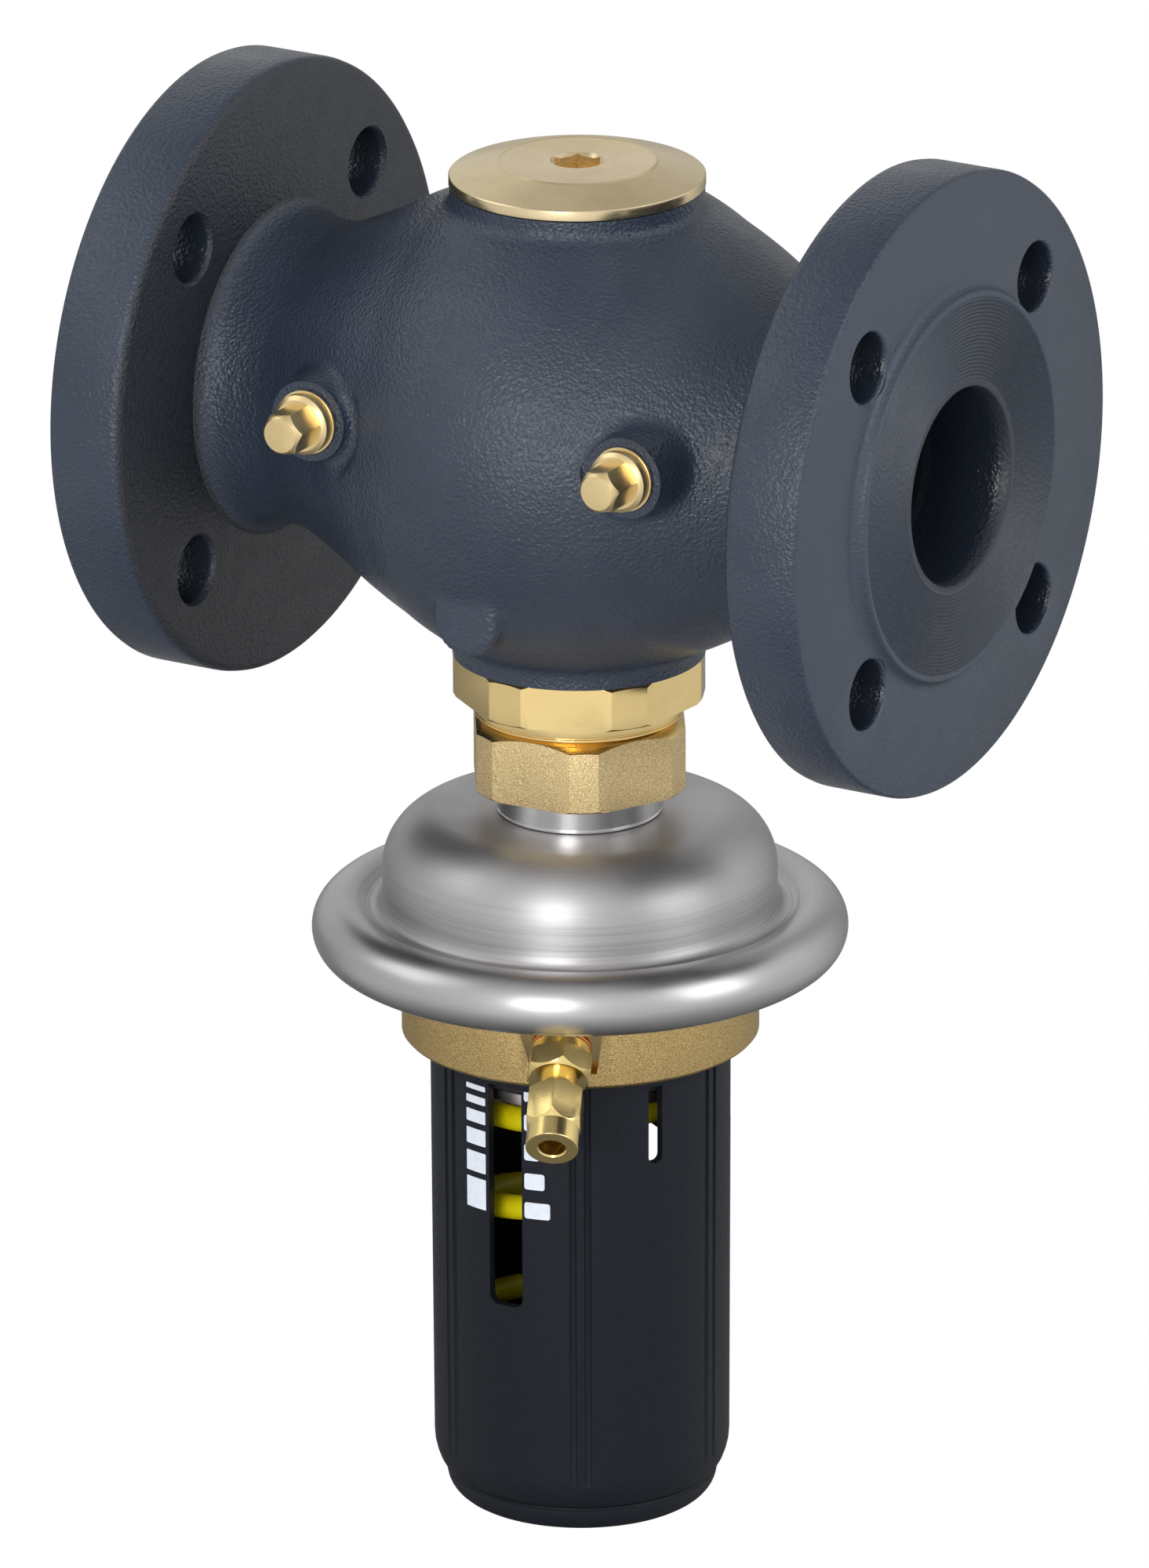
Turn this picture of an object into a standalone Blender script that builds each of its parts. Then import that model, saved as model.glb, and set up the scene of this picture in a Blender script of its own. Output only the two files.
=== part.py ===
"""Differential pressure regulator with a flanged globe body, a diaphragm actuator and a setting handle.

Frame: the origin is where the pipe axis meets the stem axis. +X runs along the pipe to the outlet
flange, -Y points to the side of the test plugs and +Z to the valve cover. The actuator and its
handle hang below the body. All lengths are in metres.
"""
import math

import bmesh
import bpy
from mathutils import Matrix, Vector

MM = 0.001
GAP = 0.3 * MM                       # running and seating gap between neighbouring pieces

# Facets round a full turn
WIDE_STEPS = 28
MIDDLE_STEPS = 20
SMALL_STEPS = 14
TINY_STEPS = 10

# Flanged globe body
FACE_TO_FACE = 230.0 * MM
FLANGE_DIAMETER = 165.0 * MM
FLANGE_THICKNESS = 24.5 * MM
FLANGE_EDGE = 1.2 * MM
RAISED_FACE_DIAMETER = 102.0 * MM
RAISED_FACE_HEIGHT = 3.0 * MM
BOLT_CIRCLE = 125.0 * MM
BOLT_HOLE_DIAMETER = 18.0 * MM
BOLT_COUNT = 4
HOLE_TURN = math.radians(4.0)
BORE_DIAMETER = 50.0 * MM
BORE_MOUTH_DIAMETER = 52.8 * MM
GLOBE_RADIUS = 68.0 * MM
GLOBE_WALL = 10.0 * MM
PIPE_NECK_RADIUS = 38.6 * MM
PIPE_NECK_FLARE = 2.4 * MM               # how much wider the pipe neck is where it meets the flange
PIPE_NECK_FILLET = 4.0 * MM
NECK_RADIUS = 33.2 * MM
NECK_DROP = 3.9 * MM                     # from the globe's pole down to the neck's face
NECK_BORE_RADIUS = 24.3 * MM
PARTITION_THICKNESS = 10.0 * MM
PARTITION_WALL = 6.0 * MM
PARTITION_WALL_X = 29.0 * MM

# Cast bosses on the front of the body
PLUG_X = 47.6 * MM
PLUG_Z = 7.9 * MM
PLUG_FACE_Y = -57.9 * MM
PLUG_BOSS_RADIUS = 10.8 * MM
PLUG_POCKET_RADIUS = 15.6 * MM           # spot-faced pocket in the globe round each plug boss
PLUG_POCKET_DROP = 2.7 * MM
PLUG_THREAD_RADIUS = 5.0 * MM
BLANK_BOSS_Z = -40.5 * MM
BLANK_BOSS_FACE_Y = -57.0 * MM
BLANK_BOSS_RADIUS = 8.4 * MM
BOSS_DEPTH = 22.0 * MM

# Test plugs
WASHER_RADIUS = 8.6 * MM
WASHER_THICKNESS = 0.9 * MM
PLUG_COLLAR_RADIUS = 8.1 * MM
PLUG_COLLAR_HEIGHT = 3.2 * MM
PLUG_HEX = 10.5 * MM
PLUG_HEX_HEIGHT = 9.5 * MM
PLUG_THREAD_LENGTH = 11.0 * MM

# Valve cover
COVER_RADIUS = 33.6 * MM
COVER_RIM = 2.9 * MM
COVER_RISE = 3.4 * MM
COVER_TOP_RADIUS = 20.7 * MM
COVER_SOCKET = 12.0 * MM
COVER_SOCKET_DEPTH = 7.0 * MM
SHANK_LENGTH = 14.0 * MM
SEAL_WIDTH = 2.0 * MM
SEAL_DEPTH = 1.7 * MM

# Seat, cone and stem
SEAT_BORE_RADIUS = 18.2 * MM
SEAT_RADIUS = 22.0 * MM
SEAT_LIP_RADIUS = 23.9 * MM
SEAT_LIP_HEIGHT = 2.2 * MM
VALVE_TRAVEL = 10.0 * MM
CONE_PLUG_LENGTH = 14.0 * MM
CONE_FLANGE_RADIUS = 21.5 * MM
CONE_HUB_RADIUS = 12.0 * MM
CONE_HUB_LENGTH = 9.0 * MM
CONE_SEAL_HEIGHT = 1.5 * MM
STEM_RADIUS = 5.0 * MM

# Bonnet and union nut
BONNET_HEX = 62.0 * MM
BONNET_CORNER_FLATS = 65.7 * MM          # across the narrow flats cut on the hexagon's corners
BONNET_CHAMFER_RADIUS = 32.6 * MM
BONNET_CHAMFER = 1.4 * MM
BONNET_HEX_HEIGHT = 11.7 * MM
BONNET_HEX_AZIMUTH = 24.0
BONNET_RING_RADIUS = 27.8 * MM
BONNET_RING_HEIGHT = 4.5 * MM
BONNET_SPIGOT_LENGTH = 11.4 * MM
UNION_THREAD_RADIUS = 24.7 * MM
UNION_NUT_HEX = 55.0 * MM
UNION_NUT_CORNER_FLATS = 59.1 * MM       # across the narrow flats cut on the hexagon's corners
UNION_NUT_CHAMFER_RADIUS = 27.4 * MM
UNION_NUT_HEIGHT = 18.9 * MM
UNION_NUT_LIP = 3.5 * MM
UNION_NUT_CHAMFER = 3.2 * MM
UNION_NUT_AZIMUTH = 2.7

# Actuator neck and diaphragm casing
COLLAR_RADIUS = 22.0 * MM
COLLAR_LENGTH = 8.1 * MM
COLLAR_SPIGOT_RADIUS = 14.0 * MM
CASING_NUT_HEX = 34.0 * MM
CASING_NUT_HEIGHT = 5.0 * MM
SHEET = 2.2 * MM
DOME_RADIUS = 52.3 * MM
DOME_SHOULDER = 16.0 * MM
CASING_DEPTH = 32.4 * MM
BEAD_RADIUS = 8.4 * MM
BEAD_OFFSET = 10.3 * MM                   # from the dome's side out to the middle of the bead
CREASE_OFFSET = 1.2 * MM
CREASE_HEIGHT = 5.9 * MM
SEAM_ANGLE = -46.0
DIAPHRAGM_THICKNESS = 1.5 * MM
CONVOLUTION_RADIUS = 5.2 * MM
PLATE_CLEARANCE = 12.8 * MM              # room for the convolution between plate and dome
PLATE_THICKNESS = 2.0 * MM
PLATE_DROP = 2.85 * MM
DIAPHRAGM_NUT_HEX = 17.0 * MM
DIAPHRAGM_NUT_HEIGHT = 6.0 * MM
ROD_HEAD_RADIUS = 9.0 * MM
ROD_HEAD_LENGTH = 12.6 * MM
STEM_SOCKET_DEPTH = 8.5 * MM
STEM_PIN_RADIUS = 1.5 * MM

# Brass actuator base
BASE_RADIUS = 47.4 * MM
BASE_HEIGHT = 20.8 * MM
BASE_SPIGOT_RADIUS = 32.5 * MM
BASE_RECESS_RADIUS = 28.5 * MM
BASE_FLOOR = 12.0 * MM
BASE_EDGE = 0.7 * MM

# Impulse tube fitting on the base
FITTING_AZIMUTH = 24.75
FITTING_TILT = 34.0
FITTING_SEAT_REACH = 2.8 * MM            # from the base's side out to the middle of the seat
FITTING_SEAT_DROP = 7.6 * MM
FITTING_BOSS_WIDTH = 22.5 * MM
FITTING_BOSS_FOOT_WIDTH = 17.6 * MM
FITTING_BOSS_DEPTH = 16.5 * MM
FITTING_THREAD_RADIUS = 4.0 * MM
FITTING_THREAD_LENGTH = 5.0 * MM
FITTING_PASSAGE_RADIUS = 1.5 * MM
GASKET_RADIUS = 8.0 * MM
GASKET_THICKNESS = 1.0 * MM
NIPPLE_SHOULDER_RADIUS = 7.5 * MM
NIPPLE_SHOULDER_HEIGHT = 2.0 * MM
NIPPLE_HEX = 16.0 * MM
NIPPLE_HEX_HEIGHT = 5.0 * MM
NIPPLE_HEX_TURN = 20.0
NIPPLE_NECK_RADIUS = 4.75 * MM
NIPPLE_NECK_LENGTH = 5.0 * MM
NIPPLE_BORE_RADIUS = 2.5 * MM
NUT_HEX = 14.0 * MM
NUT_HEX_HEIGHT = 11.0 * MM
NUT_END_RADIUS = 6.6 * MM
NUT_END_LENGTH = 7.6 * MM
NUT_TUBE_HOLE_RADIUS = 3.5 * MM
FERRULE_BORE_RADIUS = 3.1 * MM
FERRULE_LENGTH = 3.5 * MM

# Setting handle
HANDLE_RADIUS = 39.9 * MM
HANDLE_TAPER = 0.5 * MM
HANDLE_LENGTH = 130.6 * MM
HANDLE_WALL = 2.6 * MM
HANDLE_LIP_HEIGHT = 3.3 * MM
HANDLE_LIP_WIDTH = 6.4 * MM
HANDLE_SHOULDER_HEIGHT = 17.5 * MM
HANDLE_NOTCH_HEIGHT = 8.0 * MM
HANDLE_NOTCH_DEPTH = 3.0 * MM
HANDLE_FOOT_ROUND = 7.0 * MM
HANDLE_FLOOR_THICKNESS = 3.5 * MM
RIB_COUNT = 6
RIB_FIRST_AZIMUTH = 30.0
RIB_WIDTH = 3.9 * MM
RIB_GROOVE_WIDTH = 1.4 * MM
RIB_GROOVE_DEPTH = 0.8 * MM
WINDOW_WIDTH = 10.0 * MM
WINDOW_LENGTH = 62.0 * MM
WINDOW_CORNER = 2.6 * MM
WINDOW_AZIMUTHS = (0.0, 180.0)
SLOT_WIDTH = 4.5 * MM
SLOT_LENGTH = 22.4 * MM
SLOT_AZIMUTHS = (60.0, 120.0, 240.0, 300.0)
KEY_COUNT = 3
KEY_FIRST_AZIMUTH = 30.0
KEY_HALF_WIDTH = 4.0 * MM
KEY_RIB_WIDTH = 2.0 * MM
KEY_RIB_HEIGHT = 2.7 * MM

# Threaded tube that carries the handle
TUBE_RADIUS = 14.0 * MM
TUBE_BORE_RADIUS = 6.8 * MM
TUBE_FLANGE_HEIGHT = 2.4 * MM
SCREW_CIRCLE_RADIUS = 26.0 * MM
SCREW_COUNT = 3
SCREW_FIRST_AZIMUTH = 60.0
SCREW_HEAD_RADIUS = 2.8 * MM
SCREW_HEAD_HEIGHT = 1.7 * MM
SCREW_SHANK_RADIUS = 1.5 * MM
SCREW_LENGTH = 9.0 * MM

# Setting plate, spring and its foot
SETTING_TRAVEL = 31.5 * MM
SETTING_PLATE_DROP = 8.6 * MM
SETTING_CLEARANCE = 5.8 * MM             # from the plates in the handle to its wall
SETTING_PLATE_THICKNESS = 3.2 * MM
SETTING_HUB_CLEARANCE = 3.75 * MM        # between the hub and the spring round it
SETTING_HUB_LENGTH = 7.8 * MM
WIRE_RADIUS = 3.35 * MM
SPRING_INSET = 1.55 * MM                 # of the spring from the setting plate's edge
SPRING_TURNS = 3.25
SPRING_END_TURNS = 0.7
SPRING_END_DROP = 0.6 * MM
SPRING_POINTS = 14
FOOT_PLATE_THICKNESS = 3.1 * MM
LOCK_NUT_HEX = 19.0 * MM
LOCK_NUT_HEIGHT = 6.7 * MM
ROD_TIP_LENGTH = 4.0 * MM
ROD_TIP_CLEARANCE = 9.5 * MM

# Levels down the stem axis, each from the one above
HALF_LENGTH = FACE_TO_FACE / 2
NECK_FACE = GLOBE_RADIUS - NECK_DROP
BEAD_CENTRE_RADIUS = DOME_RADIUS + BEAD_OFFSET
CREASE_RADIUS = DOME_RADIUS + CREASE_OFFSET
PLATE_RADIUS = DOME_RADIUS - PLATE_CLEARANCE
FITTING_SEAT_RADIUS = BASE_RADIUS + FITTING_SEAT_REACH
HANDLE_FOOT_RADIUS = HANDLE_RADIUS - HANDLE_TAPER
HANDLE_LIP_RADIUS = HANDLE_RADIUS - HANDLE_LIP_WIDTH
HANDLE_NOTCH_RADIUS = HANDLE_FOOT_RADIUS - HANDLE_NOTCH_DEPTH
SETTING_PLATE_RADIUS = HANDLE_RADIUS - HANDLE_WALL - SETTING_CLEARANCE
FOOT_PLATE_RADIUS = HANDLE_FOOT_RADIUS - HANDLE_WALL - SETTING_CLEARANCE
SPRING_RADIUS = SETTING_PLATE_RADIUS - SPRING_INSET
SETTING_HUB_RADIUS = SPRING_RADIUS - 2 * WIRE_RADIUS - SETTING_HUB_CLEARANCE
BONNET_TOP = -(NECK_FACE + GAP)
BONNET_HEX_FOOT = BONNET_TOP - BONNET_HEX_HEIGHT
BONNET_RING_FOOT = BONNET_HEX_FOOT - BONNET_RING_HEIGHT
BONNET_FOOT = BONNET_RING_FOOT - BONNET_SPIGOT_LENGTH
UNION_TOP = BONNET_RING_FOOT - GAP
UNION_FOOT = UNION_TOP - UNION_NUT_HEIGHT
NECK_FLANGE_TOP = BONNET_FOOT - GAP
NECK_FLANGE_FOOT = UNION_FOOT + UNION_NUT_LIP + GAP
COLLAR_FOOT = UNION_FOOT - COLLAR_LENGTH
CASING_TOP = COLLAR_FOOT - GAP
CASING_NUT_TOP = CASING_TOP - SHEET - GAP
BEAD_LEVEL = CASING_TOP - CASING_DEPTH
CASING_FOOT = BEAD_LEVEL - BEAD_RADIUS
CLAMP_TOP = BEAD_LEVEL - DIAPHRAGM_THICKNESS / 2 - GAP
DIAPHRAGM_LEVEL = CLAMP_TOP + GAP + DIAPHRAGM_THICKNESS / 2
PLATE_LEVEL = DIAPHRAGM_LEVEL - PLATE_DROP
UPPER_PLATE_FOOT = PLATE_LEVEL + DIAPHRAGM_THICKNESS / 2 + GAP
UPPER_PLATE_TOP = UPPER_PLATE_FOOT + PLATE_THICKNESS
LOWER_PLATE_TOP = PLATE_LEVEL - DIAPHRAGM_THICKNESS / 2 - GAP
LOWER_PLATE_FOOT = LOWER_PLATE_TOP - PLATE_THICKNESS
ROD_SHOULDER = UPPER_PLATE_TOP + GAP
ROD_HEAD_TOP = ROD_SHOULDER + ROD_HEAD_LENGTH
STEM_FOOT = ROD_HEAD_TOP - STEM_SOCKET_DEPTH + GAP
STEM_PIN_LEVEL = (ROD_HEAD_TOP + STEM_FOOT) / 2
BASE_TOP = CASING_FOOT - GAP
BASE_FOOT = BASE_TOP - BASE_HEIGHT
BASE_SPIGOT_TOP = CASING_FOOT + SHEET - GAP
BASE_RECESS_FLOOR = BASE_FOOT + BASE_FLOOR
HANDLE_TOP = BASE_FOOT - GAP
LIP_FOOT = HANDLE_TOP - HANDLE_LIP_HEIGHT
TUBE_FLANGE_TOP = LIP_FOOT - GAP
TUBE_FLANGE_FOOT = TUBE_FLANGE_TOP - TUBE_FLANGE_HEIGHT
SETTING_PLATE_TOP = HANDLE_TOP - SETTING_PLATE_DROP
SETTING_PLATE_FOOT = SETTING_PLATE_TOP - SETTING_PLATE_THICKNESS
SETTING_HUB_FOOT = SETTING_PLATE_FOOT - SETTING_HUB_LENGTH
TUBE_FOOT = SETTING_HUB_FOOT - SETTING_TRAVEL - WIRE_RADIUS
HANDLE_FOOT = HANDLE_TOP - HANDLE_LENGTH
HANDLE_FLOOR = HANDLE_FOOT + HANDLE_FLOOR_THICKNESS
ROD_FOOT = HANDLE_FLOOR + ROD_TIP_CLEARANCE
LOCK_NUT_FOOT = ROD_FOOT + ROD_TIP_LENGTH
LOCK_NUT_TOP = LOCK_NUT_FOOT + LOCK_NUT_HEIGHT
FOOT_PLATE_FOOT = LOCK_NUT_TOP + GAP
FOOT_PLATE_TOP = FOOT_PLATE_FOOT + FOOT_PLATE_THICKNESS
SEAT_FACE = -PARTITION_THICKNESS / 2 - GAP - SEAT_LIP_HEIGHT
CONE_FACE = SEAT_FACE - GAP - VALVE_TRAVEL
CONE_SHOULDER = CONE_FACE - CONE_SEAL_HEIGHT - GAP
CONE_HUB_FOOT = CONE_SHOULDER - CONE_HUB_LENGTH - SEAT_LIP_HEIGHT
STEM_TOP = CONE_SHOULDER

PARTS = bpy.data.collections.new("differential_pressure_regulator")
CUTTERS = bpy.data.collections.new("cutters")


def polar(radius: float, azimuth: float, height: float = 0.0) -> Vector:
    """Return the point at an azimuth in degrees, counted from -Y towards +X."""
    angle = math.radians(azimuth)
    return Vector((radius * math.sin(angle), -radius * math.cos(angle), height))


def arc(centre_radius: float, centre_height: float, radius: float, start: float, end: float,
        steps: int) -> list[tuple[float, float]]:
    """Return profile points along an arc, its angles in degrees from the outward direction."""
    points = []
    for step in range(steps + 1):
        angle = math.radians(start + (end - start) * step / steps)
        points.append((centre_radius + radius * math.cos(angle), centre_height + radius * math.sin(angle)))
    return points


def add_object(name: str, mesh: bpy.types.Mesh, is_cutter: bool) -> bpy.types.Object:
    """Link a mesh as a part, or as a wire cutter that the renders leave out."""
    item = bpy.data.objects.new(name, mesh)
    if is_cutter:
        CUTTERS.objects.link(item)
        item.display_type = "WIRE"
        item.hide_render = True
    else:
        PARTS.objects.link(item)
    return item


def turned(name: str, profile: list[tuple[float, float]], steps: int, closed: bool = True,
           is_cutter: bool = False) -> bpy.types.Object:
    """Turn a profile of (radius, height) points about the local Z axis."""
    last = len(profile) - 1
    edges = [(index, index + 1) for index in range(last)]
    if closed:
        edges.append((last, 0))
    mesh = bpy.data.meshes.new(name)
    mesh.from_pydata([(radius, 0.0, height) for radius, height in profile], edges, [])
    item = add_object(name, mesh, is_cutter)
    screw = item.modifiers.new("Turn", "SCREW")
    screw.steps = steps
    screw.render_steps = steps
    screw.use_merge_vertices = True
    screw.merge_threshold = 0.00001
    screw.use_normal_calculate = False
    return item


def extruded(name: str, outline: list[tuple[float, float]], thickness: float,
             is_cutter: bool = True) -> bpy.types.Object:
    """Extrude a flat outline in the local XY plane to both sides of it."""
    curve = bpy.data.curves.new(name, "CURVE")
    curve.dimensions = "2D"
    curve.fill_mode = "BOTH"
    curve.extrude = thickness / 2
    spline = curve.splines.new("POLY")
    spline.points.add(len(outline) - 1)
    for point, (first, second) in zip(spline.points, outline):
        point.co = (first, second, 0.0, 1.0)
    spline.use_cyclic_u = True
    return mesh_from_curve(name, curve, is_cutter)


def mesh_from_curve(name: str, curve: bpy.types.Curve, is_cutter: bool) -> bpy.types.Object:
    """Turn a curve into a closed mesh object with its caps welded on."""
    guide = bpy.data.objects.new(name + "_guide", curve)
    CUTTERS.objects.link(guide)
    bpy.context.view_layer.update()
    graph = bpy.context.evaluated_depsgraph_get()
    mesh = bpy.data.meshes.new_from_object(guide.evaluated_get(graph))
    bpy.data.objects.remove(guide, do_unlink=True)
    shape = bmesh.new()
    shape.from_mesh(mesh)
    bmesh.ops.remove_doubles(shape, verts=shape.verts, dist=0.00001)
    bmesh.ops.recalc_face_normals(shape, faces=shape.faces)
    shape.to_mesh(mesh)
    shape.free()
    return add_object(name, mesh, is_cutter)


def boxes(name: str, size: tuple[float, float, float], places: list[Matrix]) -> bpy.types.Object:
    """Make one cutter of equal boxes, one at each place."""
    shape = bmesh.new()
    for place in places:
        bmesh.ops.create_cube(shape, size=1.0, matrix=place @ Matrix.Diagonal((*size, 1.0)))
    mesh = bpy.data.meshes.new(name)
    shape.to_mesh(mesh)
    shape.free()
    return add_object(name, mesh, True)


def cylinders(name: str, radius: float, length: float, places: list[Matrix],
              steps: int = SMALL_STEPS) -> bpy.types.Object:
    """Make one cutter of equal cylinders along their places' Z axes."""
    shape = bmesh.new()
    for place in places:
        bmesh.ops.create_cone(shape, cap_ends=True, segments=steps, radius1=radius, radius2=radius,
                              depth=length, matrix=place)
    mesh = bpy.data.meshes.new(name)
    shape.to_mesh(mesh)
    shape.free()
    return add_object(name, mesh, True)


def combine(item: bpy.types.Object, tool: bpy.types.Object, operation: str = "DIFFERENCE") -> None:
    """Cut a tool out of an object, or join it on."""
    modifier = item.modifiers.new(tool.name, "BOOLEAN")
    modifier.object = tool
    modifier.operation = operation
    modifier.solver = "EXACT"


def cut_hex(item: bpy.types.Object, across_flats: float, top: float, foot: float, turn: float) -> None:
    """Cut six flats on a turned piece between two levels, the first flat at a turn in degrees."""
    corner = across_flats / 2 / math.cos(math.pi / 6)
    outside = across_flats
    profile = [(corner, top), (outside, top), (outside, foot), (corner, foot)]
    tool = turned(item.name + "_flats", profile, 6, is_cutter=True)
    tool.matrix_world = item.matrix_world @ Matrix.Rotation(math.radians(turn), 4, "Z")
    combine(item, tool)


def place_turned_to(item: bpy.types.Object, point: Vector, direction: Vector) -> None:
    """Place a turned piece with its Z axis along a direction and its X axis level."""
    across = Vector((-direction.y, direction.x, 0.0)).normalized()
    other = direction.cross(across)
    item.matrix_world = Matrix.Translation(point) @ Matrix((across, other, direction)).transposed().to_4x4()


def make_material(name: str, colour: tuple[float, float, float], roughness: float,
                  metallic: float) -> bpy.types.Material:
    """Make a plain surface of one colour."""
    material = bpy.data.materials.new(name)
    material.use_nodes = True
    shader = material.node_tree.nodes["Principled BSDF"]
    shader.inputs["Base Color"].default_value = (*colour, 1.0)
    shader.inputs["Roughness"].default_value = roughness
    shader.inputs["Metallic"].default_value = metallic
    return material


def paint(item: bpy.types.Object, colour: tuple[float, float, float], roughness: float,
          metallic: float = 0.0) -> None:
    """Give an object its own material."""
    item.data.materials.append(make_material(item.name, colour, roughness, metallic))


def brass(item: bpy.types.Object, roughness: float = 0.25) -> None:
    """Finish a piece in brass."""
    paint(item, (0.78, 0.62, 0.30), roughness, 1.0)


def steel(item: bpy.types.Object, roughness: float = 0.35) -> None:
    """Finish a piece in stainless steel."""
    paint(item, (0.60, 0.60, 0.61), roughness, 1.0)


def rubber(item: bpy.types.Object) -> None:
    """Finish a piece in black rubber."""
    paint(item, (0.03, 0.03, 0.03), 0.7)


def black_plastic(item: bpy.types.Object) -> None:
    """Finish a piece in matte black plastic."""
    paint(item, (0.025, 0.028, 0.035), 0.55)


def along_x(point: Vector) -> Matrix:
    """Return a place whose Z axis lies along the pipe."""
    return Matrix.Translation(point) @ Matrix.Rotation(math.pi / 2, 4, "Y")


def along_front(point: Vector) -> Matrix:
    """Return a place whose Z axis points out to the front."""
    return Matrix.Translation(point) @ Matrix.Rotation(math.pi / 2, 4, "X")


def globe() -> bpy.types.Object:
    """Make the globe with its cover neck and bonnet neck, still solid."""
    meeting = math.degrees(math.acos((NECK_RADIUS + 5 * MM) / GLOBE_RADIUS))
    edge = 1.0 * MM
    top = [(0.0, NECK_FACE), (NECK_RADIUS - edge, NECK_FACE), (NECK_RADIUS, NECK_FACE - edge),
           (NECK_RADIUS, NECK_FACE - 2.2 * edge), (NECK_RADIUS + 1.6 * edge, NECK_FACE - 4.8 * edge)]
    ball = arc(0.0, 0.0, GLOBE_RADIUS, meeting, -meeting, 10)
    foot = [(radius, -height) for radius, height in reversed(top)]
    return turned("valve_body", top + ball + foot, WIDE_STEPS, closed=False)


def pipe_run() -> bpy.types.Object:
    """Make both flanges and the pipe necks that join them, still solid."""
    radius = FLANGE_DIAMETER / 2
    plate = HALF_LENGTH - RAISED_FACE_HEIGHT
    back = HALF_LENGTH - FLANGE_THICKNESS
    clear = back - GLOBE_RADIUS
    half = [(RAISED_FACE_DIAMETER / 2, HALF_LENGTH), (RAISED_FACE_DIAMETER / 2, plate),
            (radius - FLANGE_EDGE, plate), (radius, plate - FLANGE_EDGE),
            (radius, back + 2 * FLANGE_EDGE), (radius - 1.5 * FLANGE_EDGE, back + 0.4 * FLANGE_EDGE)]
    flared = PIPE_NECK_RADIUS + PIPE_NECK_FLARE
    half += arc(flared + PIPE_NECK_FILLET, back - PIPE_NECK_FILLET, PIPE_NECK_FILLET, 90.0, 180.0, 3)
    half += [(PIPE_NECK_RADIUS + 0.3 * PIPE_NECK_FLARE, GLOBE_RADIUS + 0.47 * clear),
             (PIPE_NECK_RADIUS, GLOBE_RADIUS + 0.22 * clear),
             (PIPE_NECK_RADIUS + PIPE_NECK_FLARE, 0.92 * GLOBE_RADIUS),
             (PIPE_NECK_RADIUS + 2.4 * PIPE_NECK_FLARE, 0.83 * GLOBE_RADIUS),
             (0.735 * GLOBE_RADIUS, 0.69 * GLOBE_RADIUS)]
    mirrored = [(distance, -place) for distance, place in reversed(half)]
    run = turned("pipe_run", [(0.0, HALF_LENGTH)] + half + mirrored + [(0.0, -HALF_LENGTH)], WIDE_STEPS,
                 closed=False, is_cutter=True)
    run.matrix_world = along_x(Vector())
    return run


def chambers() -> bpy.types.Object:
    """Make the hollow of the globe, with the stepped partition that carries the seat left standing."""
    inside = GLOBE_RADIUS - GLOBE_WALL
    hollow = turned("chambers", arc(0.0, 0.0, inside, 90.0, -90.0, 10), SMALL_STEPS, closed=False,
                    is_cutter=True)
    half = PARTITION_THICKNESS / 2
    near = PARTITION_WALL_X - PARTITION_WALL / 2
    far = PARTITION_WALL_X + PARTITION_WALL / 2
    outline = [(-far, GLOBE_RADIUS), (-near, GLOBE_RADIUS), (-near, half), (far, half),
               (far, -GLOBE_RADIUS), (near, -GLOBE_RADIUS), (near, -half), (-far, -half)]
    partition = extruded("partition", outline, 2 * GLOBE_RADIUS)
    partition.matrix_world = Matrix.Rotation(math.pi / 2, 4, "X")
    combine(hollow, partition)
    return hollow


def pipe_bore(name: str, side: float) -> bpy.types.Object:
    """Make the bore of one pipe end with its rounded mouth."""
    bore = BORE_DIAMETER / 2
    mouth = BORE_MOUTH_DIAMETER / 2
    round_off = mouth - bore
    profile = [(0.0, HALF_LENGTH + MM), (mouth + 0.6 * round_off, HALF_LENGTH + MM),
               (mouth, HALF_LENGTH), (bore + 0.3 * round_off, HALF_LENGTH - 0.6 * round_off),
               (bore, HALF_LENGTH - 1.4 * round_off), (bore, GLOBE_RADIUS * 0.66), (0.0, GLOBE_RADIUS * 0.66)]
    tool = turned(name, profile, MIDDLE_STEPS, closed=False, is_cutter=True)
    tool.matrix_world = Matrix.Rotation(side * math.pi / 2, 4, "Y")
    return tool


def bolt_holes(name: str, side: float) -> bpy.types.Object:
    """Make the bolt holes of one flange, on its bolt circle and off the upright."""
    places = []
    for index in range(BOLT_COUNT):
        angle = 2 * math.pi * (index + 0.5) / BOLT_COUNT
        middle = side * (HALF_LENGTH - FLANGE_THICKNESS / 2)
        point = Vector((middle, BOLT_CIRCLE / 2 * math.cos(angle), BOLT_CIRCLE / 2 * math.sin(angle)))
        places.append(along_x(point) @ Matrix.Rotation(HOLE_TURN, 4, "Z"))
    return cylinders(name, BOLT_HOLE_DIAMETER / 2, FLANGE_THICKNESS + 6 * MM, places)


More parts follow.
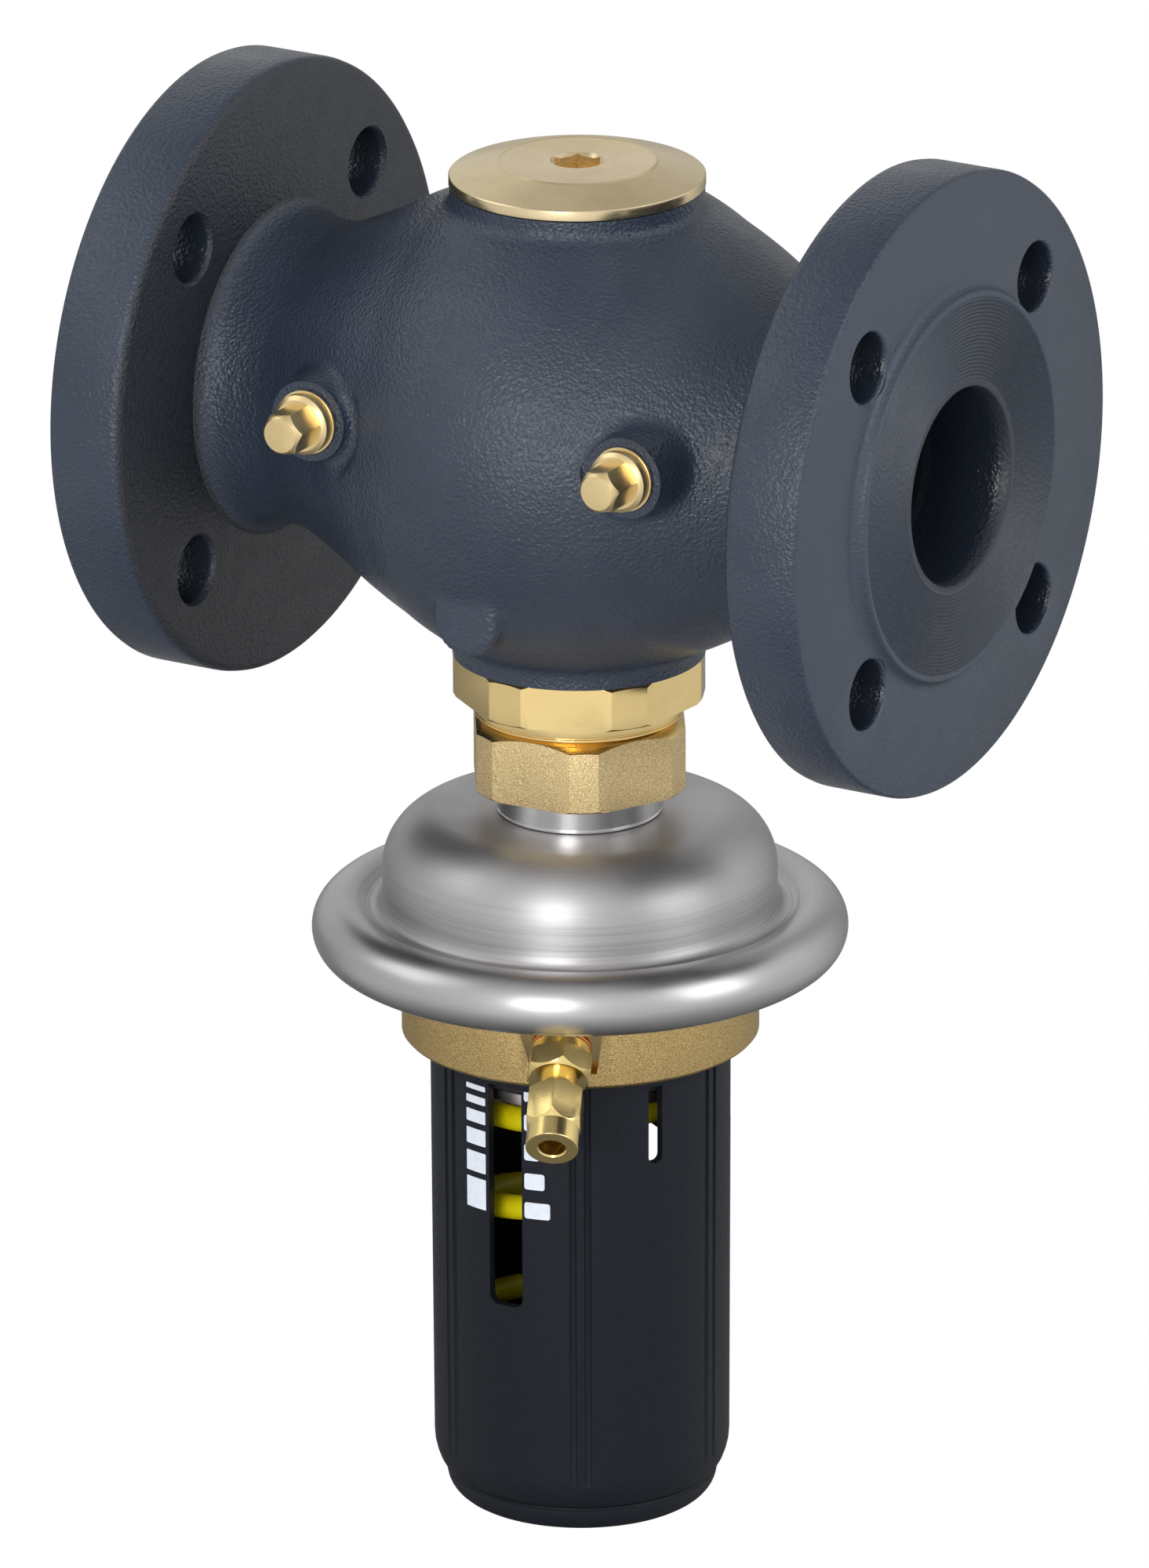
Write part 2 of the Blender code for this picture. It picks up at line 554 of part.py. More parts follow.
def valve_body() -> None:
    """Make the cast body: globe, flanges, bosses, and the chambers and bores inside."""
    body = globe()
    combine(body, pipe_run(), "UNION")
    plug_middle = PLUG_FACE_Y + BOSS_DEPTH / 2
    pocket_middle = PLUG_FACE_Y + PLUG_POCKET_DROP - BOSS_DEPTH / 2
    sides = (-1.0, 1.0)
    pocket_places = [along_front(Vector((side * PLUG_X, pocket_middle, PLUG_Z))) for side in sides]
    combine(body, cylinders("plug_pockets", PLUG_POCKET_RADIUS, BOSS_DEPTH, pocket_places, MIDDLE_STEPS))
    plug_places = [along_front(Vector((side * PLUG_X, plug_middle, PLUG_Z))) for side in sides]
    combine(body, cylinders("plug_bosses", PLUG_BOSS_RADIUS, BOSS_DEPTH, plug_places), "UNION")
    blank_place = along_front(Vector((0.0, BLANK_BOSS_FACE_Y + BOSS_DEPTH / 2, BLANK_BOSS_Z)))
    combine(body, cylinders("blank_boss", BLANK_BOSS_RADIUS, BOSS_DEPTH, [blank_place]), "UNION")
    combine(body, chambers())
    combine(body, pipe_bore("outlet_bore", 1.0))
    combine(body, pipe_bore("inlet_bore", -1.0))
    combine(body, bolt_holes("outlet_bolt_holes", 1.0))
    combine(body, bolt_holes("inlet_bolt_holes", -1.0))
    neck_middle = NECK_FACE - GLOBE_WALL / 2 - 4 * MM
    neck_places = [Matrix.Translation((0.0, 0.0, side * neck_middle)) for side in sides]
    combine(body, cylinders("neck_bores", NECK_BORE_RADIUS, 2 * GLOBE_WALL, neck_places, MIDDLE_STEPS))
    seat_hole = cylinders("seat_hole", SEAT_RADIUS + GAP, 2 * PARTITION_THICKNESS, [Matrix()], MIDDLE_STEPS)
    combine(body, seat_hole)
    thread_hole = cylinders("plug_holes", PLUG_THREAD_RADIUS + GAP, 1.9 * BOSS_DEPTH, plug_places, TINY_STEPS)
    combine(body, thread_hole)
    paint(body, (0.10, 0.12, 0.16), 0.4)


def seal_groove(radius: float, level: float) -> list[tuple[float, float]]:
    """Return the profile points of a seal groove in a shank, from above to below."""
    half = SEAL_WIDTH / 2 + GAP
    bottom = radius - SEAL_DEPTH - GAP
    return [(radius, level + half), (bottom, level + half), (bottom, level - half), (radius, level - half)]


def shank_seal(name: str, radius: float, level: float) -> None:
    """Make the square seal that lies in a shank's groove."""
    half = SEAL_WIDTH / 2
    inner = radius - SEAL_DEPTH
    ring = turned(name, [(inner, level + half), (radius, level + half), (radius, level - half),
                         (inner, level - half)], MIDDLE_STEPS)
    rubber(ring)


def valve_cover() -> None:
    """Make the brass plug that closes the cover neck, and its seal."""
    rim_foot = NECK_FACE + GAP
    rim_top = rim_foot + COVER_RIM
    top = rim_top + COVER_RISE
    shank = NECK_BORE_RADIUS - GAP
    foot = rim_foot - SHANK_LENGTH
    groove_level = (rim_foot + foot) / 2
    wall = 6.0 * MM
    profile = [(0.0, top), (COVER_TOP_RADIUS, top), (COVER_RADIUS - 0.4 * MM, rim_top),
               (COVER_RADIUS, rim_top - 0.4 * MM), (COVER_RADIUS, rim_foot), (shank, rim_foot)]
    profile += seal_groove(shank, groove_level)
    profile += [(shank, foot), (shank - wall, foot), (shank - wall, foot + wall), (0.0, foot + wall)]
    cover = turned("valve_cover", profile, WIDE_STEPS, closed=False)
    socket = cylinders("cover_socket", COVER_SOCKET / 2 / math.cos(math.pi / 6), 2 * COVER_SOCKET_DEPTH,
                       [Matrix.Translation((0.0, 0.0, top)) @ Matrix.Rotation(math.pi / 6, 4, "Z")], 6)
    combine(cover, socket)
    brass(cover)
    shank_seal("cover_seal", shank, groove_level)


def seat_ring() -> None:
    """Make the seat ring in the partition, with its lip below."""
    half = PARTITION_THICKNESS / 2
    lip = -half - GAP
    ring = turned("seat_ring", [(SEAT_BORE_RADIUS, half), (SEAT_RADIUS, half), (SEAT_RADIUS, lip),
                                (SEAT_LIP_RADIUS, lip), (SEAT_LIP_RADIUS, SEAT_FACE + 0.8 * MM),
                                (SEAT_LIP_RADIUS - 1.2 * MM, SEAT_FACE), (SEAT_BORE_RADIUS, SEAT_FACE)],
                  MIDDLE_STEPS)
    steel(ring)


def test_plug(name: str, side: float) -> None:
    """Make one test plug and the washer under its collar."""
    face = Vector((side * PLUG_X, PLUG_FACE_Y, PLUG_Z))
    washer_top = GAP + WASHER_THICKNESS
    washer = turned(name + "_washer", [(PLUG_THREAD_RADIUS + GAP, washer_top), (WASHER_RADIUS, washer_top),
                                       (WASHER_RADIUS, GAP), (PLUG_THREAD_RADIUS + GAP, GAP)], SMALL_STEPS)
    washer.matrix_world = along_front(face)
    brass(washer)
    collar_foot = washer_top + GAP
    collar_top = collar_foot + PLUG_COLLAR_HEIGHT
    end = collar_top + PLUG_HEX_HEIGHT
    corner = PLUG_HEX / 2 / math.cos(math.pi / 6) - 0.1 * MM
    edge = 0.9 * MM
    profile = [(0.0, end), (corner - edge, end), (corner, end - 0.6 * edge), (corner, collar_top),
               (PLUG_COLLAR_RADIUS - edge, collar_top), (PLUG_COLLAR_RADIUS, collar_top - edge),
               (PLUG_COLLAR_RADIUS, collar_foot), (PLUG_THREAD_RADIUS, collar_foot),
               (PLUG_THREAD_RADIUS, -PLUG_THREAD_LENGTH), (0.0, -PLUG_THREAD_LENGTH)]
    plug = turned(name, profile, SMALL_STEPS, closed=False)
    plug.matrix_world = along_front(face)
    cut_hex(plug, PLUG_HEX, end + MM, collar_top, 0.0)
    brass(plug)


def bonnet() -> None:
    """Make the bonnet: shank in the body, hexagon, bright ring and the union thread."""
    shank = NECK_BORE_RADIUS - GAP
    top = BONNET_TOP + SHANK_LENGTH
    groove_level = (BONNET_TOP + top) / 2
    blank = BONNET_CHAMFER_RADIUS + BONNET_CHAMFER
    bore = STEM_RADIUS + GAP
    profile = [(bore, top), (shank, top)] + seal_groove(shank, groove_level)
    profile += [(shank, BONNET_TOP), (BONNET_CHAMFER_RADIUS, BONNET_TOP), (blank, BONNET_TOP - BONNET_CHAMFER),
                (blank, BONNET_HEX_FOOT + BONNET_CHAMFER), (BONNET_CHAMFER_RADIUS, BONNET_HEX_FOOT),
                (BONNET_RING_RADIUS, BONNET_HEX_FOOT),
                (BONNET_RING_RADIUS, BONNET_RING_FOOT), (UNION_THREAD_RADIUS, BONNET_RING_FOOT),
                (UNION_THREAD_RADIUS, BONNET_FOOT), (bore, BONNET_FOOT)]
    item = turned("bonnet", profile, WIDE_STEPS)
    cut_hex(item, BONNET_HEX, BONNET_TOP + GAP / 2, BONNET_HEX_FOOT - GAP, BONNET_HEX_AZIMUTH)
    cut_hex(item, BONNET_CORNER_FLATS, BONNET_TOP + GAP / 2, BONNET_HEX_FOOT - GAP, BONNET_HEX_AZIMUTH + 30.0)
    brass(item, 0.2)
    shank_seal("bonnet_seal", shank, groove_level)


def union_nut() -> None:
    """Make the rough cast union nut that holds the actuator to the bonnet."""
    bore = UNION_THREAD_RADIUS + GAP
    lip = COLLAR_RADIUS + GAP
    lip_top = UNION_FOOT + UNION_NUT_LIP
    blank = UNION_NUT_CHAMFER_RADIUS + UNION_NUT_CHAMFER
    edge = 1.4 * MM
    profile = [(bore, UNION_TOP), (UNION_NUT_CHAMFER_RADIUS, UNION_TOP), (blank, UNION_TOP - UNION_NUT_CHAMFER),
               (blank, UNION_FOOT + edge), (blank - edge, UNION_FOOT), (lip, UNION_FOOT), (lip, lip_top),
               (bore, lip_top)]
    nut = turned("union_nut", profile, WIDE_STEPS)
    cut_hex(nut, UNION_NUT_HEX, UNION_TOP + MM, UNION_FOOT - MM, UNION_NUT_AZIMUTH)
    cut_hex(nut, UNION_NUT_CORNER_FLATS, UNION_TOP + MM, UNION_FOOT - MM, UNION_NUT_AZIMUTH + 30.0)
    brass(nut, 0.5)


def actuator_neck() -> None:
    """Make the neck that the union nut holds, and the nut inside the casing that ties them."""
    bore = STEM_RADIUS + 5 * GAP
    spigot_foot = CASING_NUT_TOP - CASING_NUT_HEIGHT - GAP
    profile = [(bore, NECK_FLANGE_TOP), (UNION_THREAD_RADIUS, NECK_FLANGE_TOP),
               (UNION_THREAD_RADIUS, NECK_FLANGE_FOOT), (COLLAR_RADIUS, NECK_FLANGE_FOOT),
               (COLLAR_RADIUS, COLLAR_FOOT), (COLLAR_SPIGOT_RADIUS, COLLAR_FOOT),
               (COLLAR_SPIGOT_RADIUS, spigot_foot), (bore, spigot_foot)]
    steel(turned("actuator_neck", profile, MIDDLE_STEPS), 0.2)
    hex_nut("casing_nut", CASING_NUT_HEX, CASING_NUT_TOP, CASING_NUT_HEIGHT, COLLAR_SPIGOT_RADIUS + GAP)


def hex_nut(name: str, across_flats: float, top: float, height: float, bore: float) -> None:
    """Make a chamfered steel hexagon nut on the stem axis."""
    corner = across_flats / 2 / math.cos(math.pi / 6)
    chamfer = corner * 0.10
    foot = top - height
    profile = [(bore, top), (corner - chamfer, top), (corner, top - 0.6 * chamfer),
               (corner, foot + 0.6 * chamfer), (corner - chamfer, foot), (bore, foot)]
    nut = turned(name, profile, MIDDLE_STEPS if bore > STEM_RADIUS + GAP else SMALL_STEPS)
    cut_hex(nut, across_flats, top + MM, foot - MM, 0.0)
    steel(nut)


def upper_casing() -> None:
    """Press the dome, its crease and the rolled bead from one sheet."""
    dome_level = CASING_TOP - DOME_SHOULDER
    crease_level = BEAD_LEVEL + CREASE_HEIGHT
    outline = [(COLLAR_SPIGOT_RADIUS + GAP, CASING_TOP)]
    outline += arc(DOME_RADIUS - DOME_SHOULDER, dome_level, DOME_SHOULDER, 90.0, 0.0, 5)
    outline += [(DOME_RADIUS, crease_level + 2.6 * MM), (CREASE_RADIUS, crease_level)]
    outline += arc(BEAD_CENTRE_RADIUS, BEAD_LEVEL, BEAD_RADIUS, 132.0, SEAM_ANGLE, 7)
    casing = turned("upper_casing", outline, WIDE_STEPS, closed=False)
    sheet = casing.modifiers.new("Sheet", "SOLIDIFY")
    sheet.thickness = SHEET
    sheet.offset = -1.0
    sheet.use_even_offset = True
    steel(casing)


def lower_casing() -> None:
    """Make the pan that closes the casing from below and carries the diaphragm's rim."""
    ledge = BEAD_CENTRE_RADIUS + 0.5 * BEAD_RADIUS
    inside = DOME_RADIUS + 1.5 * SHEET
    floor = CASING_FOOT + SHEET
    seam = math.radians(SEAM_ANGLE - 6.0)
    clear = BEAD_RADIUS - SHEET - 2 * GAP
    profile = [(BASE_SPIGOT_RADIUS + GAP, floor), (inside, floor), (inside, CLAMP_TOP), (ledge, CLAMP_TOP),
               (BEAD_CENTRE_RADIUS + clear * math.cos(seam), BEAD_LEVEL + clear * math.sin(seam))]
    profile += arc(BEAD_CENTRE_RADIUS, BEAD_LEVEL, BEAD_RADIUS, SEAM_ANGLE - 4.0, -90.0, 3)
    profile += [(BASE_SPIGOT_RADIUS + GAP, CASING_FOOT)]
    steel(turned("lower_casing", profile, WIDE_STEPS))


def diaphragm() -> None:
    """Make the rolling diaphragm with its rim and its one convolution."""
    half = DIAPHRAGM_THICKNESS / 2
    bend = CONVOLUTION_RADIUS
    outer_bend = DOME_RADIUS - half + GAP
    centre = outer_bend - bend
    inner_bend = centre - bend
    rim = DOME_RADIUS + 2 * SHEET
    rim_edge = BEAD_CENTRE_RADIUS - GAP
    rim_top = DIAPHRAGM_LEVEL + half + 1.2 * MM
    bore = STEM_RADIUS + GAP
    top = [(bore, PLATE_LEVEL + half), (inner_bend - half, PLATE_LEVEL + half)]
    top += arc(centre, DIAPHRAGM_LEVEL, bend + half, 180.0, 10.0, 4)
    top += [(rim, DIAPHRAGM_LEVEL + half), (rim + 0.6 * MM, rim_top), (rim_edge, rim_top)]
    foot = [(rim_edge, DIAPHRAGM_LEVEL - half), (outer_bend - half, DIAPHRAGM_LEVEL - half)]
    foot += arc(centre, DIAPHRAGM_LEVEL, bend - half, 10.0, 180.0, 3)
    foot += [(inner_bend + half, PLATE_LEVEL - half), (bore, PLATE_LEVEL - half)]
    rubber(turned("diaphragm", top + foot, MIDDLE_STEPS))


def disc(name: str, radius: float, top: float, foot: float, bore: float) -> bpy.types.Object:
    """Make a flat round plate with a bore and a broken upper edge."""
    edge = 0.5 * MM
    profile = [(bore, top), (radius - edge, top), (radius, top - edge), (radius, foot), (bore, foot)]
    return turned(name, profile, MIDDLE_STEPS)


def diaphragm_plates() -> None:
    """Make the two plates that clamp the diaphragm and the nut below them."""
    bore = STEM_RADIUS + GAP
    steel(disc("upper_diaphragm_plate", PLATE_RADIUS, UPPER_PLATE_TOP, UPPER_PLATE_FOOT, bore))
    steel(disc("lower_diaphragm_plate", PLATE_RADIUS, LOWER_PLATE_TOP, LOWER_PLATE_FOOT, bore))
    hex_nut("diaphragm_nut", DIAPHRAGM_NUT_HEX, LOWER_PLATE_FOOT - GAP, DIAPHRAGM_NUT_HEIGHT, bore)


def valve_cone() -> None:
    """Make the cone, which closes upwards against the seat, and the seal on its shoulder."""
    plug = SEAT_BORE_RADIUS - 0.8 * MM
    tip = plug * 0.58
    bore = STEM_RADIUS + GAP
    profile = [(0.0, CONE_FACE + CONE_PLUG_LENGTH), (tip, CONE_FACE + CONE_PLUG_LENGTH),
               (0.5 * (tip + plug) + MM, CONE_FACE + 0.6 * CONE_PLUG_LENGTH), (plug, CONE_FACE + 3 * MM),
               (plug, CONE_SHOULDER), (CONE_FLANGE_RADIUS, CONE_SHOULDER),
               (CONE_FLANGE_RADIUS, CONE_SHOULDER - 3 * MM), (CONE_HUB_RADIUS, CONE_SHOULDER - 6 * MM),
               (CONE_HUB_RADIUS, CONE_HUB_FOOT), (bore, CONE_HUB_FOOT), (bore, STEM_TOP + GAP),
               (0.0, STEM_TOP + GAP)]
    steel(turned("valve_cone", profile, MIDDLE_STEPS, closed=False))
    seal = turned("cone_seal", [(plug + GAP, CONE_FACE), (CONE_FLANGE_RADIUS, CONE_FACE),
                                (CONE_FLANGE_RADIUS, CONE_SHOULDER + GAP),
                                (plug + GAP, CONE_SHOULDER + GAP)], MIDDLE_STEPS)
    rubber(seal)


def valve_stem() -> None:
    """Make the stem from the cone to the draw rod, and the pin that joins them."""
    edge = 0.8 * MM
    stem = turned("valve_stem", [(0.0, STEM_TOP), (STEM_RADIUS - edge, STEM_TOP),
                                 (STEM_RADIUS, STEM_TOP - edge), (STEM_RADIUS, STEM_FOOT), (0.0, STEM_FOOT)],
                  SMALL_STEPS, closed=False)
    place = along_front(Vector((0.0, 0.0, STEM_PIN_LEVEL)))
    hole = cylinders("stem_pin_hole", STEM_PIN_RADIUS + GAP, 3 * ROD_HEAD_RADIUS, [place], TINY_STEPS)
    combine(stem, hole)
    steel(stem)
    half = ROD_HEAD_RADIUS - GAP
    pin = turned("stem_pin", [(0.0, half), (STEM_PIN_RADIUS, half), (STEM_PIN_RADIUS, -half), (0.0, -half)],
                 TINY_STEPS, closed=False)
    pin.matrix_world = place
    steel(pin)
    draw_rod(hole)


def draw_rod(pin_hole: bpy.types.Object) -> None:
    """Make the rod that draws the diaphragm plates and the cone down."""
    bore = STEM_RADIUS + GAP
    socket_foot = STEM_FOOT - GAP
    edge = 1.0 * MM
    profile = [(0.0, socket_foot), (bore, socket_foot), (bore, ROD_HEAD_TOP),
               (ROD_HEAD_RADIUS - edge, ROD_HEAD_TOP), (ROD_HEAD_RADIUS, ROD_HEAD_TOP - edge),
               (ROD_HEAD_RADIUS, ROD_SHOULDER), (STEM_RADIUS, ROD_SHOULDER), (STEM_RADIUS, ROD_FOOT + edge),
               (STEM_RADIUS - edge, ROD_FOOT), (0.0, ROD_FOOT)]
    rod = turned("draw_rod", profile, SMALL_STEPS, closed=False)
    combine(rod, pin_hole)
    steel(rod)


def fitting_direction() -> Vector:
    """Return the direction in which the impulse fitting points, outwards and down."""
    tilt = math.radians(FITTING_TILT)
    level = polar(math.cos(tilt), FITTING_AZIMUTH)
    return Vector((level.x, level.y, -math.sin(tilt)))


def fitting_seat() -> Vector:
    """Return the centre of the sloping face that the impulse fitting is screwed on."""
    return polar(FITTING_SEAT_RADIUS, FITTING_AZIMUTH, BASE_TOP - FITTING_SEAT_DROP)


def fitting_wedge(name: str, outline: list[tuple[float, float]]) -> bpy.types.Object:
    """Extrude an outline of (radius, level) points sideways, narrower towards the boss's foot."""
    wedge = extruded(name, outline, FITTING_BOSS_WIDTH)
    taper = (1 - FITTING_BOSS_FOOT_WIDTH / FITTING_BOSS_WIDTH) / FITTING_BOSS_DEPTH
    for vertex in wedge.data.vertices:
        vertex.co.z *= 1 - taper * (BASE_TOP - vertex.co.y)
    outward = polar(1.0, FITTING_AZIMUTH)
    upward = Vector((0.0, 0.0, 1.0))
    wedge.matrix_world = Matrix((outward, upward, outward.cross(upward))).transposed().to_4x4()
    return wedge


def add_fitting_boss(base: bpy.types.Object) -> None:
    """Join on the boss of the impulse fitting and mill its sloping seat into it and the base."""
    slope = math.tan(math.radians(FITTING_TILT))
    foot = BASE_TOP - FITTING_BOSS_DEPTH
    over = BASE_TOP + FITTING_BOSS_DEPTH
    seat_level = BASE_TOP - FITTING_SEAT_DROP
    inner = BASE_RECESS_RADIUS + 3 * MM
    outer = FITTING_SEAT_RADIUS + FITTING_BOSS_DEPTH
    top_reach = FITTING_SEAT_RADIUS + (BASE_TOP - seat_level) * slope
    over_reach = FITTING_SEAT_RADIUS + (over - seat_level) * slope
    foot_reach = FITTING_SEAT_RADIUS + (foot - seat_level) * slope
    boss = fitting_wedge("fitting_boss", [(inner, BASE_TOP), (top_reach, BASE_TOP), (foot_reach, foot),
                                          (inner, foot)])
    combine(base, boss, "UNION")
    seat = fitting_wedge("fitting_seat", [(over_reach, over), (outer + over_reach, over), (outer, foot),
                                          (foot_reach, foot)])
    combine(base, seat)


def along(point: Vector, direction: Vector) -> Matrix:
    """Return a place whose Z axis lies along a direction."""
    return Matrix.Translation(point) @ direction.to_track_quat("Z", "Y").to_matrix().to_4x4()


def actuator_base() -> None:
    """Make the brass base below the casing, with its recess, fitting boss and passages."""
    bore = STEM_RADIUS + GAP
    profile = [(bore, BASE_RECESS_FLOOR), (BASE_RECESS_RADIUS, BASE_RECESS_FLOOR),
               (BASE_RECESS_RADIUS, BASE_SPIGOT_TOP), (BASE_SPIGOT_RADIUS, BASE_SPIGOT_TOP),
               (BASE_SPIGOT_RADIUS, BASE_TOP), (BASE_RADIUS, BASE_TOP), (BASE_RADIUS, BASE_FOOT + BASE_EDGE),
               (BASE_RADIUS - BASE_EDGE, BASE_FOOT), (bore, BASE_FOOT)]
    base = turned("actuator_base", profile, WIDE_STEPS)
    add_fitting_boss(base)
    direction = fitting_direction()
    thread_foot = fitting_seat() - direction * (FITTING_THREAD_LENGTH + GAP)
    thread_hole = cylinders("fitting_thread_hole", FITTING_THREAD_RADIUS + GAP, 2 * FITTING_THREAD_LENGTH,
                            [along(thread_foot + direction * FITTING_THREAD_LENGTH, direction)])
    combine(base, thread_hole)
    run = math.hypot(thread_foot.x, thread_foot.y) + FITTING_PASSAGE_RADIUS
    inner = BASE_RECESS_RADIUS - 2 * MM
    level = thread_foot.z
    passage = along(polar((run + inner) / 2, FITTING_AZIMUTH, level), polar(1.0, FITTING_AZIMUTH))
    combine(base, cylinders("fitting_passage", FITTING_PASSAGE_RADIUS, run - inner, [passage], TINY_STEPS))
    combine(base, screw_holes("base_screw_holes", BASE_FOOT, SCREW_LENGTH))
    brass(base, 0.5)
    seal_foot = BASE_RECESS_FLOOR + GAP
    seal = turned("rod_seal", [(bore, seal_foot + SEAL_WIDTH), (ROD_HEAD_RADIUS, seal_foot + SEAL_WIDTH),
                               (ROD_HEAD_RADIUS, seal_foot), (bore, seal_foot)], SMALL_STEPS)
    rubber(seal)


def screw_places(level: float) -> list[Matrix]:
    """Return the places of the carrier screws at a level."""
    azimuths = [SCREW_FIRST_AZIMUTH + 360.0 * index / SCREW_COUNT for index in range(SCREW_COUNT)]
    return [Matrix.Translation(polar(SCREW_CIRCLE_RADIUS, azimuth, level)) for azimuth in azimuths]


def screw_holes(name: str, level: float, depth: float) -> bpy.types.Object:
    """Make the screw holes that reach a depth to each side of a level."""
    return cylinders(name, SCREW_SHANK_RADIUS + GAP, 2 * depth, screw_places(level), TINY_STEPS)


def threaded_tube() -> None:
    """Make the fixed black tube: it carries the handle's lip and the setting plate's thread."""
    spigot = HANDLE_LIP_RADIUS - GAP
    flange = HANDLE_RADIUS - HANDLE_WALL - 2 * GAP
    profile = [(TUBE_BORE_RADIUS, HANDLE_TOP), (spigot, HANDLE_TOP), (spigot, TUBE_FLANGE_TOP),
               (flange, TUBE_FLANGE_TOP), (flange, TUBE_FLANGE_FOOT), (TUBE_RADIUS, TUBE_FLANGE_FOOT),
               (TUBE_RADIUS, TUBE_FOOT), (TUBE_BORE_RADIUS, TUBE_FOOT)]
    tube = turned("threaded_tube", profile, MIDDLE_STEPS)
    combine(tube, screw_holes("tube_screw_holes", HANDLE_TOP, SCREW_LENGTH))
    black_plastic(tube)
    for index, place in enumerate(screw_places(TUBE_FLANGE_FOOT - GAP), 1):
        head_foot = -SCREW_HEAD_HEIGHT
        profile = [(0.0, SCREW_LENGTH), (SCREW_SHANK_RADIUS, SCREW_LENGTH), (SCREW_SHANK_RADIUS, 0.0),
                   (SCREW_HEAD_RADIUS, 0.0), (SCREW_HEAD_RADIUS, head_foot + 0.5 * MM),
                   (SCREW_HEAD_RADIUS - 0.5 * MM, head_foot), (0.0, head_foot)]
        screw = turned(f"tube_screw_{index}", profile, TINY_STEPS, closed=False)
        screw.matrix_world = place
        steel(screw)


def fitting_piece(name: str, profile: list[tuple[float, float]], closed: bool = True) -> bpy.types.Object:
    """Turn a piece of the impulse fitting, its heights counted out from the sloping seat."""
    piece = turned(name, profile, SMALL_STEPS, closed)
    place_turned_to(piece, fitting_seat(), fitting_direction())
    return piece


def impulse_fitting() -> None:
    """Make the gasket, nipple, ferrule and nut that take the impulse tube."""
    gasket_top = GAP + GASKET_THICKNESS
    thread = FITTING_THREAD_RADIUS
    gasket = fitting_piece("impulse_gasket", [(thread + GAP, gasket_top), (GASKET_RADIUS, gasket_top),
                                              (GASKET_RADIUS, GAP), (thread + GAP, GAP)])
    paint(gasket, (0.72, 0.34, 0.16), 0.3, 1.0)
    shoulder = gasket_top + GAP
    hex_foot = shoulder + NIPPLE_SHOULDER_HEIGHT
    hex_end = hex_foot + NIPPLE_HEX_HEIGHT
    nut_start = hex_end + NIPPLE_NECK_LENGTH
    nut_shoulder = nut_start + NUT_HEX_HEIGHT
    nut_end = nut_shoulder + NUT_END_LENGTH
    nipple_end = nut_shoulder - 2 * MM
    corner = NIPPLE_HEX / 2 / math.cos(math.pi / 6)
    bore = NIPPLE_BORE_RADIUS
    nipple = fitting_piece("impulse_nipple", [
        (bore, nipple_end), (NIPPLE_NECK_RADIUS, nipple_end), (NIPPLE_NECK_RADIUS, hex_end),
        (corner - 1.2 * MM, hex_end), (corner, hex_end - 0.9 * MM), (corner, hex_foot),
        (NIPPLE_SHOULDER_RADIUS, hex_foot), (NIPPLE_SHOULDER_RADIUS, shoulder), (thread, shoulder),
        (thread, -FITTING_THREAD_LENGTH), (bore, -FITTING_THREAD_LENGTH)])
    cut_hex(nipple, NIPPLE_HEX, hex_end + GAP, hex_foot, NIPPLE_HEX_TURN)
    brass(nipple, 0.15)
    ferrule_start = nipple_end + GAP
    ferrule_end = ferrule_start + FERRULE_LENGTH
    ferrule_radius = NIPPLE_NECK_RADIUS
    ferrule = fitting_piece("impulse_ferrule", [
        (FERRULE_BORE_RADIUS, ferrule_end), (ferrule_radius - 0.8 * MM, ferrule_end),
        (ferrule_radius, ferrule_end - 1.2 * MM), (ferrule_radius, ferrule_start),
        (FERRULE_BORE_RADIUS, ferrule_start)])
    brass(ferrule, 0.15)
    nut_bore = NIPPLE_NECK_RADIUS + GAP
    step = ferrule_end + GAP
    nut_corner = NUT_HEX / 2 / math.cos(math.pi / 6)
    nut = fitting_piece("impulse_nut", [
        (NUT_TUBE_HOLE_RADIUS, nut_end), (NUT_END_RADIUS - 0.3 * MM, nut_end), (NUT_END_RADIUS, nut_end - 0.3 * MM),
        (NUT_END_RADIUS, nut_shoulder), (nut_corner - 0.6 * MM, nut_shoulder),
        (nut_corner, nut_shoulder - 0.9 * MM), (nut_corner, nut_start + 0.6 * MM),
        (nut_corner - 0.8 * MM, nut_start), (nut_bore, nut_start), (nut_bore, step),
        (NUT_TUBE_HOLE_RADIUS, step)])
    cut_hex(nut, NUT_HEX, nut_shoulder, nut_start - GAP, 30.0)
    brass(nut, 0.15)


def rounded_opening(name: str, width: float, top: float, length: float, corner: float,
                    azimuth: float) -> bpy.types.Object:
    """Make a cutter for an opening in the handle's wall, with rounded lower corners."""
    half = width / 2
    foot = top - length
    outline = [(-half, top), (-half, foot + corner)]
    outline += arc(-half + corner, foot + corner, corner, 180.0, 270.0, 4)[1:]
    outline += arc(half - corner, foot + corner, corner, 270.0, 360.0, 4)
    outline += [(half, top)]
    tool = extruded(name, outline, 4 * HANDLE_WALL)
    out = polar(1.0, azimuth)
    across = polar(1.0, azimuth + 90.0)
    axes = Matrix((across, Vector((0.0, 0.0, 1.0)), out)).transposed().to_4x4()
    tool.matrix_world = Matrix.Translation(polar(HANDLE_RADIUS - HANDLE_WALL, azimuth)) @ axes
    return tool


def wall_place(radius: float, azimuth: float, sideways: float, level: float) -> Matrix:
    """Return a place on a round wall, moved sideways, with its X axis across and its Y axis inwards."""
    turn = Matrix.Rotation(math.radians(azimuth), 4, "Z")
    return turn @ Matrix.Translation((sideways, -radius, level))


